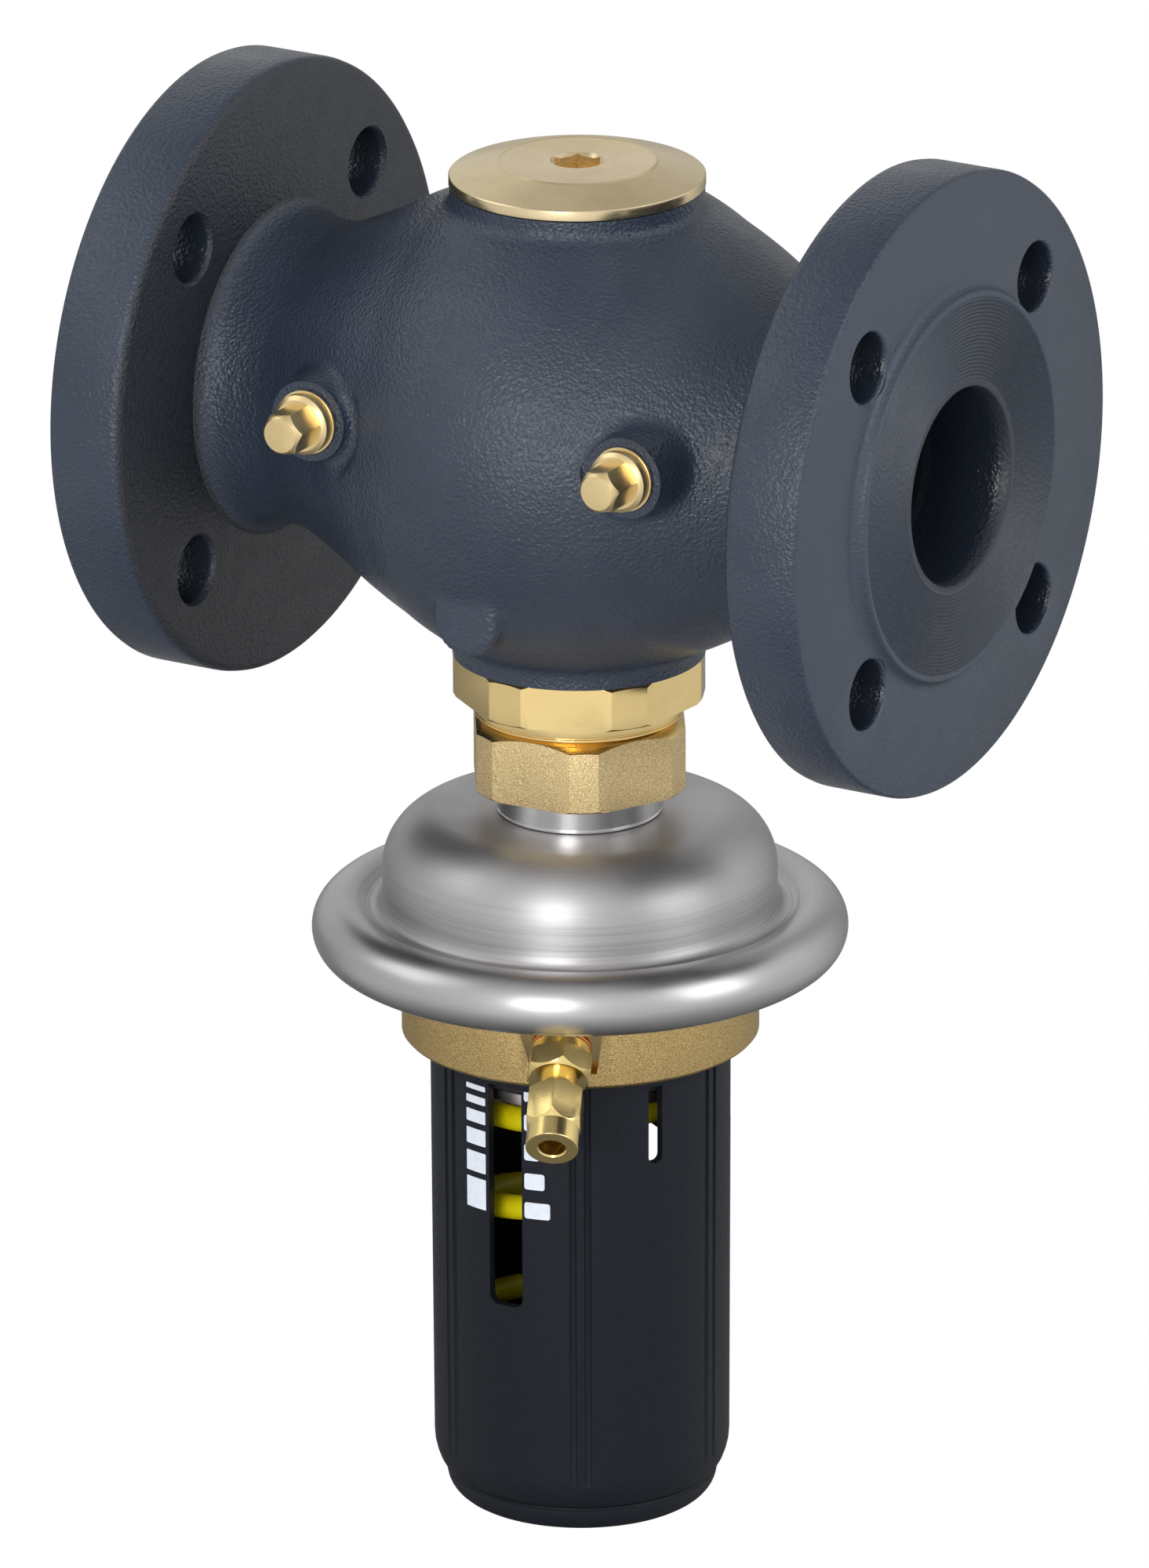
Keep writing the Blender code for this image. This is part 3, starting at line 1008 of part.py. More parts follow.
def handle_profile() -> list[tuple[float, float]]:
    """Return the handle's section: floor, wall and lip inside, then down the outside."""
    wall_foot = HANDLE_FOOT + HANDLE_SHOULDER_HEIGHT
    notch_level = HANDLE_FOOT + HANDLE_NOTCH_HEIGHT
    edge = 1.0 * MM
    floor_radius = HANDLE_NOTCH_RADIUS - 1.2 * HANDLE_WALL
    inside = [(0.0, HANDLE_FLOOR), (floor_radius, HANDLE_FLOOR), (floor_radius, notch_level + 2 * MM),
              (HANDLE_FOOT_RADIUS - HANDLE_WALL, wall_foot + MM), (HANDLE_RADIUS - HANDLE_WALL, LIP_FOOT),
              (HANDLE_LIP_RADIUS, LIP_FOOT), (HANDLE_LIP_RADIUS, HANDLE_TOP)]
    outside = [(HANDLE_RADIUS - edge, HANDLE_TOP), (HANDLE_RADIUS, HANDLE_TOP - edge)]
    drop = wall_foot - notch_level
    inset = HANDLE_FOOT_RADIUS - HANDLE_NOTCH_RADIUS
    turn = 2 * math.atan2(inset, drop)
    sweep = drop / math.sin(turn)
    outside += arc(HANDLE_FOOT_RADIUS - sweep, wall_foot, sweep, 0.0, -math.degrees(turn), 4)
    foot_radius = HANDLE_NOTCH_RADIUS - 0.3 * MM
    outside += [(foot_radius - 0.6 * MM, notch_level - 0.3 * MM)]
    outside += arc(foot_radius - HANDLE_FOOT_ROUND, HANDLE_FOOT + HANDLE_FOOT_ROUND, HANDLE_FOOT_ROUND,
                   0.0, -90.0, 5)
    return inside + outside + [(0.0, HANDLE_FOOT)]


def setting_handle() -> None:
    """Make the handle: ribbed shell with two scale windows, four slots and key ribs inside."""
    handle = turned("setting_handle", handle_profile(), WIDE_STEPS, closed=False)
    key_top = TUBE_FLANGE_FOOT - GAP
    key_length = key_top - SETTING_PLATE_FOOT + SETTING_TRAVEL + 4 * MM
    key_size = (KEY_RIB_WIDTH, KEY_RIB_HEIGHT + 1.2 * MM, key_length)
    key_radius = HANDLE_RADIUS - HANDLE_WALL - KEY_RIB_HEIGHT / 2 + 0.6 * MM
    offset = KEY_HALF_WIDTH + GAP + KEY_RIB_WIDTH / 2
    key_places = [wall_place(key_radius, azimuth, side * offset, key_top - key_length / 2)
                  for azimuth in key_azimuths() for side in (-1.0, 1.0)]
    combine(handle, boxes("key_ribs", key_size, key_places), "UNION")
    groove_top = HANDLE_TOP - 1.8 * MM
    groove_foot = HANDLE_FOOT + HANDLE_SHOULDER_HEIGHT - 2.5 * MM
    groove_size = (RIB_GROOVE_WIDTH, 2 * RIB_GROOVE_DEPTH, groove_top - groove_foot)
    groove_places = [wall_place(HANDLE_RADIUS, RIB_FIRST_AZIMUTH + 360.0 * index / RIB_COUNT,
                                side * RIB_WIDTH / 2, (groove_top + groove_foot) / 2)
                     for index in range(RIB_COUNT) for side in (-1.0, 1.0)]
    combine(handle, boxes("rib_grooves", groove_size, groove_places))
    opening_top = LIP_FOOT - GAP
    for azimuth in WINDOW_AZIMUTHS:
        combine(handle, rounded_opening(f"window_{azimuth:.0f}", WINDOW_WIDTH, opening_top, WINDOW_LENGTH,
                                        WINDOW_CORNER, azimuth))
    for azimuth in SLOT_AZIMUTHS:
        combine(handle, rounded_opening(f"slot_{azimuth:.0f}", SLOT_WIDTH, opening_top, SLOT_LENGTH,
                                        0.45 * SLOT_WIDTH, azimuth))
    black_plastic(handle)


def key_azimuths() -> list[float]:
    """Return the azimuths at which the setting plate is keyed to the handle."""
    return [KEY_FIRST_AZIMUTH + 360.0 * index / KEY_COUNT for index in range(KEY_COUNT)]


def setting_plate() -> None:
    """Make the plate that presses the spring: threaded hub, round rim and three key lugs."""
    bore = TUBE_RADIUS + GAP
    plate = turned("setting_plate", [(bore, SETTING_PLATE_TOP), (SETTING_PLATE_RADIUS, SETTING_PLATE_TOP),
                                     (SETTING_PLATE_RADIUS, SETTING_PLATE_FOOT),
                                     (SETTING_HUB_RADIUS, SETTING_PLATE_FOOT),
                                     (SETTING_HUB_RADIUS, SETTING_HUB_FOOT), (bore, SETTING_HUB_FOOT)],
                   MIDDLE_STEPS)
    reach = HANDLE_FOOT_RADIUS - HANDLE_WALL - GAP
    root = SETTING_PLATE_RADIUS - 4 * MM
    size = (2 * KEY_HALF_WIDTH, reach - root, SETTING_PLATE_THICKNESS - 2 * GAP)
    level = (SETTING_PLATE_TOP + SETTING_PLATE_FOOT) / 2
    places = [wall_place((reach + root) / 2, azimuth, 0.0, level) for azimuth in key_azimuths()]
    combine(plate, boxes("key_lugs", size, places), "UNION")
    steel(plate, 0.25)


def setting_spring() -> None:
    """Wind the yellow compression spring between the setting plate and the foot plate."""
    radius = SPRING_RADIUS - WIRE_RADIUS
    start = SETTING_PLATE_FOOT - GAP - WIRE_RADIUS
    end = FOOT_PLATE_TOP + GAP + WIRE_RADIUS
    total = 2 * SPRING_END_TURNS + SPRING_TURNS
    count = round(total * SPRING_POINTS)
    curve = bpy.data.curves.new("setting_spring", "CURVE")
    curve.dimensions = "3D"
    curve.bevel_depth = WIRE_RADIUS
    curve.bevel_resolution = 2
    curve.use_fill_caps = True
    spline = curve.splines.new("POLY")
    spline.points.add(count)
    for index, point in enumerate(spline.points):
        turns = total * index / count
        height = start - spring_drop(turns, start - end)
        place = polar(radius, 360.0 * (SPRING_END_TURNS - turns), height)
        point.co = (*place, 1.0)
    spring = mesh_from_curve("setting_spring", curve, False)
    paint(spring, (0.85, 0.65, 0.02), 0.45)


def spring_drop(turns: float, length: float) -> float:
    """Return how far the wire has come down after some turns, with a closed turn at each end."""
    pitch = (length - 2 * SPRING_END_DROP) / SPRING_TURNS
    first = min(turns, SPRING_END_TURNS) / SPRING_END_TURNS * SPRING_END_DROP
    middle = min(max(turns - SPRING_END_TURNS, 0.0), SPRING_TURNS) * pitch
    last = max(turns - SPRING_END_TURNS - SPRING_TURNS, 0.0) / SPRING_END_TURNS * SPRING_END_DROP
    return first + middle + last


def spring_foot() -> None:
    """Make the plate that the spring stands on and the nut that locks it on the draw rod."""
    bore = STEM_RADIUS + GAP
    steel(disc("foot_plate", FOOT_PLATE_RADIUS, FOOT_PLATE_TOP, FOOT_PLATE_FOOT, bore))
    hex_nut("lock_nut", LOCK_NUT_HEX, LOCK_NUT_TOP, LOCK_NUT_HEIGHT, bore)


def joint_empty(name: str, level: float, node_names: list[str]) -> None:
    """Hang the pieces of one moving group on an empty that lies on its joint's axis."""
    empty = bpy.data.objects.new(name, None)
    empty.location = (0.0, 0.0, level)
    CUTTERS.objects.link(empty)
    bpy.context.view_layer.update()
    for node_name in node_names:
        item = PARTS.objects[node_name]
        place = item.matrix_world.copy()
        item.parent = empty
        item.matrix_parent_inverse = empty.matrix_world.inverted()
        item.matrix_world = place


def settle_meshes() -> None:
    """Turn every part into its finished mesh, shaded smooth with sharp edges kept."""
    bpy.context.view_layer.update()
    graph = bpy.context.evaluated_depsgraph_get()
    finished = {item: bpy.data.meshes.new_from_object(item.evaluated_get(graph)) for item in PARTS.objects}
    for item, mesh in finished.items():
        item.modifiers.clear()
        item.data = mesh
        mesh.shade_smooth()
        mesh.set_sharp_from_angle(angle=math.radians(28.0))


def main() -> None:
    """Model the regulator from an empty scene."""
    for item in list(bpy.data.objects):
        bpy.data.objects.remove(item, do_unlink=True)
    bpy.context.scene.collection.children.link(PARTS)
    bpy.context.scene.collection.children.link(CUTTERS)
    valve_body()
    valve_cover()
    seat_ring()
    test_plug("test_plug_inlet", -1.0)
    test_plug("test_plug_outlet", 1.0)
    bonnet()
    union_nut()
    actuator_neck()
    upper_casing()
    lower_casing()
    diaphragm()
    diaphragm_plates()
    valve_cone()
    valve_stem()
    actuator_base()
    impulse_fitting()
    threaded_tube()
    setting_handle()
    setting_plate()
    setting_spring()
    spring_foot()
    settle_meshes()
    joint_empty("stem_axis", STEM_TOP, ["valve_cone", "cone_seal", "valve_stem", "stem_pin", "draw_rod",
                                        "upper_diaphragm_plate", "lower_diaphragm_plate", "diaphragm_nut",
                                        "foot_plate", "lock_nut"])
    joint_empty("handle_axis", HANDLE_TOP, ["setting_handle", "setting_spring"])
    joint_empty("plate_axis", SETTING_PLATE_TOP, ["setting_plate"])


main()
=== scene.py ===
"""Studio scene of a differential pressure regulator with a flanged globe body.

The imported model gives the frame: the origin lies where the pipe axis meets the stem axis, +X runs
along the pipe to the outlet flange, -Y points to the side of the test plugs and +Z to the valve
cover. An azimuth is in degrees from -Y towards +X. The sizes in the classes are in millimetres, and
the meshes are made in metres.
"""
import logging
import math
from dataclasses import dataclass
from enum import Enum

import bpy
from mathutils import Matrix, Vector


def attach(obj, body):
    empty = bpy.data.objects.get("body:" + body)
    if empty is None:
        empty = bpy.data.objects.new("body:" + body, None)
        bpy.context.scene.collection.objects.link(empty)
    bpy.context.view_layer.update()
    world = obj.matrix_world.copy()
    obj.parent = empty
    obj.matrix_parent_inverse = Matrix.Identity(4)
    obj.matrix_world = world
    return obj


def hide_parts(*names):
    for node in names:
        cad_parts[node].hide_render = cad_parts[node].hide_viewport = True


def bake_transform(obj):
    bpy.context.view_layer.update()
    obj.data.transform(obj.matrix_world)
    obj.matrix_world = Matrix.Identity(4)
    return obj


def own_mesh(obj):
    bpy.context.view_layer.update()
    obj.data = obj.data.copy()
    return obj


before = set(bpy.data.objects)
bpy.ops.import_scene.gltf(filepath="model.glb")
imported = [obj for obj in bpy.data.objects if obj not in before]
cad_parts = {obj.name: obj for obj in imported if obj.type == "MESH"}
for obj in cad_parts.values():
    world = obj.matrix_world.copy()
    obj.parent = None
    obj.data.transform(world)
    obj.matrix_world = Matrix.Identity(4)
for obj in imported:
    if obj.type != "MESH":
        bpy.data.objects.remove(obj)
MM = 0.001
FINE_MERGE = 0.000001
COARSE_MERGE = 0.00001
PIN_FACETS, SMALL_FACETS, FACETS, LARGE_FACETS, RIM_FACETS, BROAD_FACETS = 48, 64, 96, 128, 144, 160
PLUG_X, PLUG_FACE, PLUG_Z = 47.6, -57.9, 7.9
KEY_AZIMUTHS = (30.0, 150.0, 270.0)
LOG = logging.getLogger("regulator")

Profile = list[tuple[float, float]]
Colour = tuple[float, float, float]


class Group(Enum):
    """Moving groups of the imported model."""

    CASING = "casing"
    STEM = "stem_group"
    HANDLE = "handle_group"
    PLATE = "plate_group"


class Slot(Enum):
    """Material slots of the record."""

    PAINT = "body_paint"
    BRASS = "brass_machined"
    ROUGH_BRASS = "brass_cast"
    SHEET = "steel_pressed"
    STEEL = "steel_machined"
    RUBBER = "rubber_black"
    PLASTIC = "plastic_black"
    COPPER = "copper"
    YELLOW = "spring_yellow"
    WHITE = "scale_white"


class Join(Enum):
    """Ways in which one solid shapes another."""

    CUT = "DIFFERENCE"
    ADD = "UNION"
    COMMON = "INTERSECT"


class Solver(Enum):
    """Ways in which Blender works out such a join."""

    EXACT = "EXACT"
    MANIFOLD = "MANIFOLD"


def polar(radius: float, azimuth: float, height: float = 0.0) -> Vector:
    """Find a point by its azimuth.

    Args:
        radius: Distance from the stem axis, in any unit.
        azimuth: Degrees from -Y towards +X.
        height: Height in the same unit.

    Returns:
        The point.
    """
    angle = math.radians(azimuth)
    return Vector((radius * math.sin(angle), -radius * math.cos(angle), height))


def at(east: float, north: float, up: float) -> Matrix:
    """Return the place of a point given in millimetres."""
    return Matrix.Translation(Vector((east, north, up)) * MM)


def round_stem(azimuth: float) -> Matrix:
    """Return a turn about the stem axis, in degrees."""
    return Matrix.Rotation(math.radians(azimuth), 4, "Z")


def along_pipe(side: float) -> Matrix:
    """Return the turn that lays the Z axis along the pipe, towards the outlet where side is 1."""
    return Matrix.Rotation(side * math.pi / 2, 4, "Y")


def along(first: Vector, second: Vector, third: Vector) -> Matrix:
    """Return the turn that lays the three axes along these directions."""
    return Matrix((first, second, third)).transposed().to_4x4()


def arc(radius: float, height: float, bend: float, start: float, end: float, steps: int) -> Profile:
    """Find profile points along an arc.

    Args:
        radius: Distance of the arc's centre from the axis.
        height: Height of the arc's centre.
        bend: Radius of the arc.
        start: First angle in degrees from the outward direction.
        end: Last angle in degrees.
        steps: Number of chords.

    Returns:
        The points, both ends included.
    """
    angles = [math.radians(start + (end - start) * step / steps) for step in range(steps + 1)]
    return [(radius + bend * math.cos(angle), height + bend * math.sin(angle)) for angle in angles]


def eased(profile: Profile, ease: float) -> Profile:
    """Round the sharp corners of a profile.

    Args:
        profile: Points of (radius, height). It is a loop where its last point is its first.
        ease: Radius of the rounding.

    Returns:
        The profile with three points in place of each sharp corner.
    """
    loop = (Vector(profile[0]) - Vector(profile[-1])).length < 1e-6
    points = [Vector(point) for point in (profile[:-1] if loop else profile)]
    count = len(points)
    result: list[Vector] = []
    for index, corner in enumerate(points):
        if not loop and index in (0, count - 1):
            result.append(corner)
            continue
        back = points[index - 1] - corner
        forth = points[(index + 1) % count] - corner
        angle = back.angle(forth)
        if angle > math.radians(155.0) or ease <= 0.0:
            result.append(corner)
            continue
        reach = min(ease / math.tan(angle / 2), 0.4 * back.length, 0.4 * forth.length)
        first = corner + back.normalized() * reach
        last = corner + forth.normalized() * reach
        result += [first, (first + last) / 4 + corner / 2, last]
    if loop:
        result.append(result[0])
    return [(point.x, point.y) for point in result]


def choose(*items: bpy.types.Object) -> None:
    """Select these objects and nothing else, the first of them active."""
    bpy.ops.object.select_all(action="DESELECT")
    for item in items:
        item.select_set(True)
    bpy.context.view_layer.objects.active = items[0]


def settle(item: bpy.types.Object, place: Matrix) -> bpy.types.Object:
    """Move an object to its place and apply the place to its mesh.

    Args:
        item: The object, in object mode.
        place: Where its local frame goes, in metres.

    Returns:
        The same object, which then sits at the origin.
    """
    item.matrix_world = place @ item.matrix_world
    choose(item)
    bpy.ops.object.transform_apply(location=True, rotation=True, scale=True)
    return item


def draw_line(name: str, points: list[Vector]) -> bpy.types.Object:
    """Draw a chain of edges by extruding one vertex, and stay in edit mode.

    Args:
        name: Name of the new object.
        points: Points of the chain in metres.

    Returns:
        The object, all of it selected.
    """
    bpy.ops.object.select_all(action="DESELECT")
    bpy.ops.mesh.primitive_plane_add(size=1.0, location=(0.0, 0.0, 0.0))
    item = bpy.context.object
    item.name = name
    bpy.ops.object.mode_set(mode="EDIT")
    bpy.ops.mesh.select_mode(type="VERT")
    bpy.ops.mesh.select_all(action="SELECT")
    bpy.ops.mesh.merge(type="CENTER")
    bpy.ops.transform.translate(value=points[0])
    for start, end in zip(points, points[1:]):
        bpy.ops.mesh.extrude_vertices_move(TRANSFORM_OT_translate={"value": end - start})
    bpy.ops.mesh.select_all(action="SELECT")
    return item


def close_mesh(merge: float = 0.0) -> None:
    """Turn the faces of the mesh in edit mode outwards and leave edit mode.

    Args:
        merge: Distance in metres within which its points are merged first, if any.
    """
    bpy.ops.mesh.select_all(action="SELECT")
    if merge:
        bpy.ops.mesh.remove_doubles(threshold=merge)
    bpy.ops.mesh.normals_make_consistent(inside=False)
    bpy.ops.object.mode_set(mode="OBJECT")


def spin_line(name: str, profile: Profile, steps: int) -> bpy.types.Object:
    """Spin a chain of points once round the Z axis.

    Args:
        name: Name of the new object.
        profile: Points of (radius, height) in millimetres.
        steps: Facets round the full turn.

    Returns:
        The spun surface.
    """
    item = draw_line(name, [Vector((radius * MM, 0.0, height * MM)) for radius, height in profile])
    bpy.ops.mesh.spin(steps=steps, angle=2 * math.pi, center=(0.0, 0.0, 0.0), axis=(0.0, 0.0, 1.0))
    close_mesh(FINE_MERGE)
    return item


def lathe(name: str, profile: Profile, steps: int = LARGE_FACETS, ease: float = 0.25,
          place: Matrix = Matrix()) -> bpy.types.Object:
    """Turn a profile about the local Z axis.

    Args:
        name: Name of the new object.
        profile: Points of (radius, height) in millimetres, from axis to axis or round a loop.
        steps: Facets round the full turn.
        ease: Rounding of the sharp corners.
        place: Where the local frame goes, in metres.

    Returns:
        The closed solid.
    """
    return settle(spin_line(name, eased(profile, ease), steps), place)


def prism(name: str, sides: int, across: float, low: float, high: float, turn: float,
          place: Matrix = Matrix()) -> bpy.types.Object:
    """Make a prism about the local Z axis.

    Args:
        name: Name of the new object.
        sides: Number of flats.
        across: Distance across the flats in millimetres.
        low: Lower end in millimetres.
        high: Upper end in millimetres.
        turn: Azimuth of a flat in degrees.
        place: Where the local frame goes, in metres.

    Returns:
        The prism.
    """
    radius = across / 2 / math.cos(math.pi / sides)
    bpy.ops.object.select_all(action="DESELECT")
    bpy.ops.mesh.primitive_cylinder_add(vertices=sides, radius=radius * MM, depth=(high - low) * MM,
                                        location=(0.0, 0.0, (high + low) / 2 * MM),
                                        rotation=(0.0, 0.0, math.radians(turn) - math.pi / sides))
    item = bpy.context.object
    item.name = name
    return settle(item, place)


def rod(name: str, radius: float, start: Vector, end: Vector, sides: int = PIN_FACETS) -> bpy.types.Object:
    """Make a cylinder between two points in millimetres.

    Args:
        name: Name of the new object.
        radius: Radius in millimetres.
        start: Centre of one end.
        end: Centre of the other end.
        sides: Facets round the full turn.

    Returns:
        The cylinder.
    """
    run = end - start
    turn = run.to_track_quat("Z", "Y").to_euler()
    bpy.ops.object.select_all(action="DESELECT")
    bpy.ops.mesh.primitive_cylinder_add(vertices=sides, radius=radius * MM, depth=run.length * MM,
                                        location=(start + end) / 2 * MM, rotation=turn)
    item = bpy.context.object
    item.name = name
    return settle(item, Matrix())


def stem_rod(name: str, radius: float, low: float, high: float, sides: int = PIN_FACETS) -> bpy.types.Object:
    """Make a cylinder on the Z axis, its sizes in millimetres."""
    return rod(name, radius, Vector((0.0, 0.0, low)), Vector((0.0, 0.0, high)), sides)


def block(name: str, size: tuple[float, float, float], place: Matrix) -> bpy.types.Object:
    """Make a box.

    Args:
        name: Name of the new object.
        size: Its three sizes in millimetres.
        place: Where its centre and axes go, in metres.

    Returns:
        The box.
    """
    bpy.ops.object.select_all(action="DESELECT")
    bpy.ops.mesh.primitive_cube_add(size=1.0, scale=Vector(size) * MM)
    item = bpy.context.object
    item.name = name
    return settle(item, place)


def sheet_of(name: str, outline: Profile, thickness: float, place: Matrix) -> bpy.types.Object:
    """Extrude a flat outline to both sides of the local XY plane.

    Args:
        name: Name of the new object.
        outline: Corners in millimetres, without the first one again.
        thickness: Whole thickness in millimetres.
        place: Where the local frame goes, in metres.

    Returns:
        The closed solid.
    """
    points = [Vector((first * MM, second * MM, -thickness / 2 * MM)) for first, second in outline]
    item = draw_line(name, points)
    bpy.ops.mesh.edge_face_add()
    bpy.ops.mesh.extrude_region_move(TRANSFORM_OT_translate={"value": (0.0, 0.0, thickness * MM)})
    close_mesh()
    return settle(item, place)


def modify(item: bpy.types.Object, kind: str, **settings: object) -> None:
    """Add a modifier to an object and apply it.

    Args:
        item: The object.
        kind: Blender's name for the type of the modifier.
        settings: Values of its settings.
    """
    choose(item)
    bpy.ops.object.modifier_add(type=kind)
    modifier = item.modifiers[-1]
    for name, value in settings.items():
        setattr(modifier, name, value)
    bpy.ops.object.modifier_apply(modifier=modifier.name)


def shape(item: bpy.types.Object, tool: bpy.types.Object, join: Join, solver: Solver = Solver.EXACT) -> None:
    """Shape a solid with another, which is used up.

    Args:
        item: The solid that stays.
        tool: The solid that is taken away afterwards.
        join: How they are joined.
        solver: Blender's solver for it.
    """
    modify(item, "BOOLEAN", object=tool, operation=join.value, solver=solver.value)
    bpy.data.objects.remove(tool, do_unlink=True)


def break_edges(item: bpy.types.Object, width: float, segments: int = 2, angle: float = 30.0) -> None:
    """Bevel the sharp edges of a solid.

    Args:
        item: The solid.
        width: Width of the bevel in millimetres.
        segments: Number of facets across it.
        angle: Least angle in degrees at which an edge counts as sharp.
    """
    modify(item, "BEVEL", width=width * MM, segments=segments, limit_method="ANGLE",
           angle_limit=math.radians(angle))


def dress(item: bpy.types.Object, *surfaces: bpy.types.Material) -> None:
    """Give an object these materials and no others."""
    item.data.materials.clear()
    for surface in surfaces:
        item.data.materials.append(surface)


def finish_piece(item: bpy.types.Object, surface: bpy.types.Material, group: Group | None, slot: Slot,
                 *nodes: str, angle: float = 30.0) -> None:
    """Shade, dress and fix a piece to its group.

    Args:
        item: The piece.
        surface: Its material.
        group: The group that it moves with, or None where it is fixed to no group.
        slot: The record's slot for the piece; not used.
        nodes: CAD nodes that it stands for.
        angle: Least angle in degrees between faces that is drawn as an edge.
    """
    choose(item)
    bpy.ops.object.shade_smooth_by_angle(angle=math.radians(angle))
    if not any(item.data.materials):
        dress(item, surface)
        item.data.polygons.foreach_set("material_index", [0] * len(item.data.polygons))
    if nodes:
        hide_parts(*nodes)
    if group:
        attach(item, group.value)
    LOG.info("%s: %d faces", item.name, len(item.data.polygons))


class Nodes:
    """A node tree under construction, with the place that its patterns start from."""

    def __init__(self, tree: bpy.types.NodeTree, place: str) -> None:
        """Take a tree and choose its coordinates."""
        self.tree = tree
        self.place = tree.nodes.new("ShaderNodeTexCoord").outputs[place]

    def ramp(self, value: bpy.types.NodeSocket, stops: list[tuple[float, float]]) -> bpy.types.NodeSocket:
        """Let a brightness follow a row of stops.

        Args:
            value: Place along the row, from 0 to 1.
            stops: Pairs of place and brightness.

        Returns:
            The brightness.
        """
        node = self.tree.nodes.new("ShaderNodeValToRGB")
        elements = node.color_ramp.elements
        while len(elements) < len(stops):
            elements.new(0.5)
        for element, (place, level) in zip(elements, stops):
            element.position = place
            element.color = (level, level, level, 1.0)
        self.tree.links.new(value, node.inputs[0])
        return node.outputs[0]

    def bearing(self, east: bpy.types.NodeSocket, north: bpy.types.NodeSocket) -> bpy.types.NodeSocket:
        """Return the azimuth of a point, moved from half a turn each way to a range from 0 to 1."""
        angle = self.maths("ARCTAN2", east, self.maths("MULTIPLY", north, -1.0))
        return self.ranged(angle, -math.pi, math.pi, 0.0, 1.0)

    def maths(self, operation: str, first: bpy.types.NodeSocket | float,
              second: bpy.types.NodeSocket | float = 0.0) -> bpy.types.NodeSocket:
        """Add one step of arithmetic.

        Args:
            operation: Blender's name for it.
            first: Its first value.
            second: Its second value, where it has one.

        Returns:
            The result.
        """
        node = self.tree.nodes.new("ShaderNodeMath")
        node.operation = operation
        for socket, value in zip(node.inputs, (first, second)):
            if isinstance(value, (int, float)):
                socket.default_value = value
            else:
                self.tree.links.new(value, socket)
        return node.outputs[0]

    def length(self, first: bpy.types.NodeSocket, second: bpy.types.NodeSocket) -> bpy.types.NodeSocket:
        """Return the distance from the origin in a plane."""
        squares = [self.maths("MULTIPLY", value, value) for value in (first, second)]
        return self.maths("SQRT", self.maths("ADD", *squares))

    def split(self, vector: bpy.types.NodeSocket) -> list[bpy.types.NodeSocket]:
        """Return the three parts of a vector."""
        node = self.tree.nodes.new("ShaderNodeSeparateXYZ")
        self.tree.links.new(vector, node.inputs[0])
        return list(node.outputs)

    def ranged(self, value: bpy.types.NodeSocket, low: float, high: float, start: float, end: float
               ) -> bpy.types.NodeSocket:
        """Move a value from one range to another and hold it there.

        Args:
            value: The value.
            low: Start of its own range.
            high: End of its own range.
            start: Start of the new range.
            end: End of the new range.

        Returns:
            The moved value.
        """
        node = self.tree.nodes.new("ShaderNodeMapRange")
        for name, number in (("From Min", low), ("From Max", high), ("To Min", start), ("To Max", end)):
            node.inputs[name].default_value = number
        self.tree.links.new(value, node.inputs["Value"])
        return node.outputs[0]


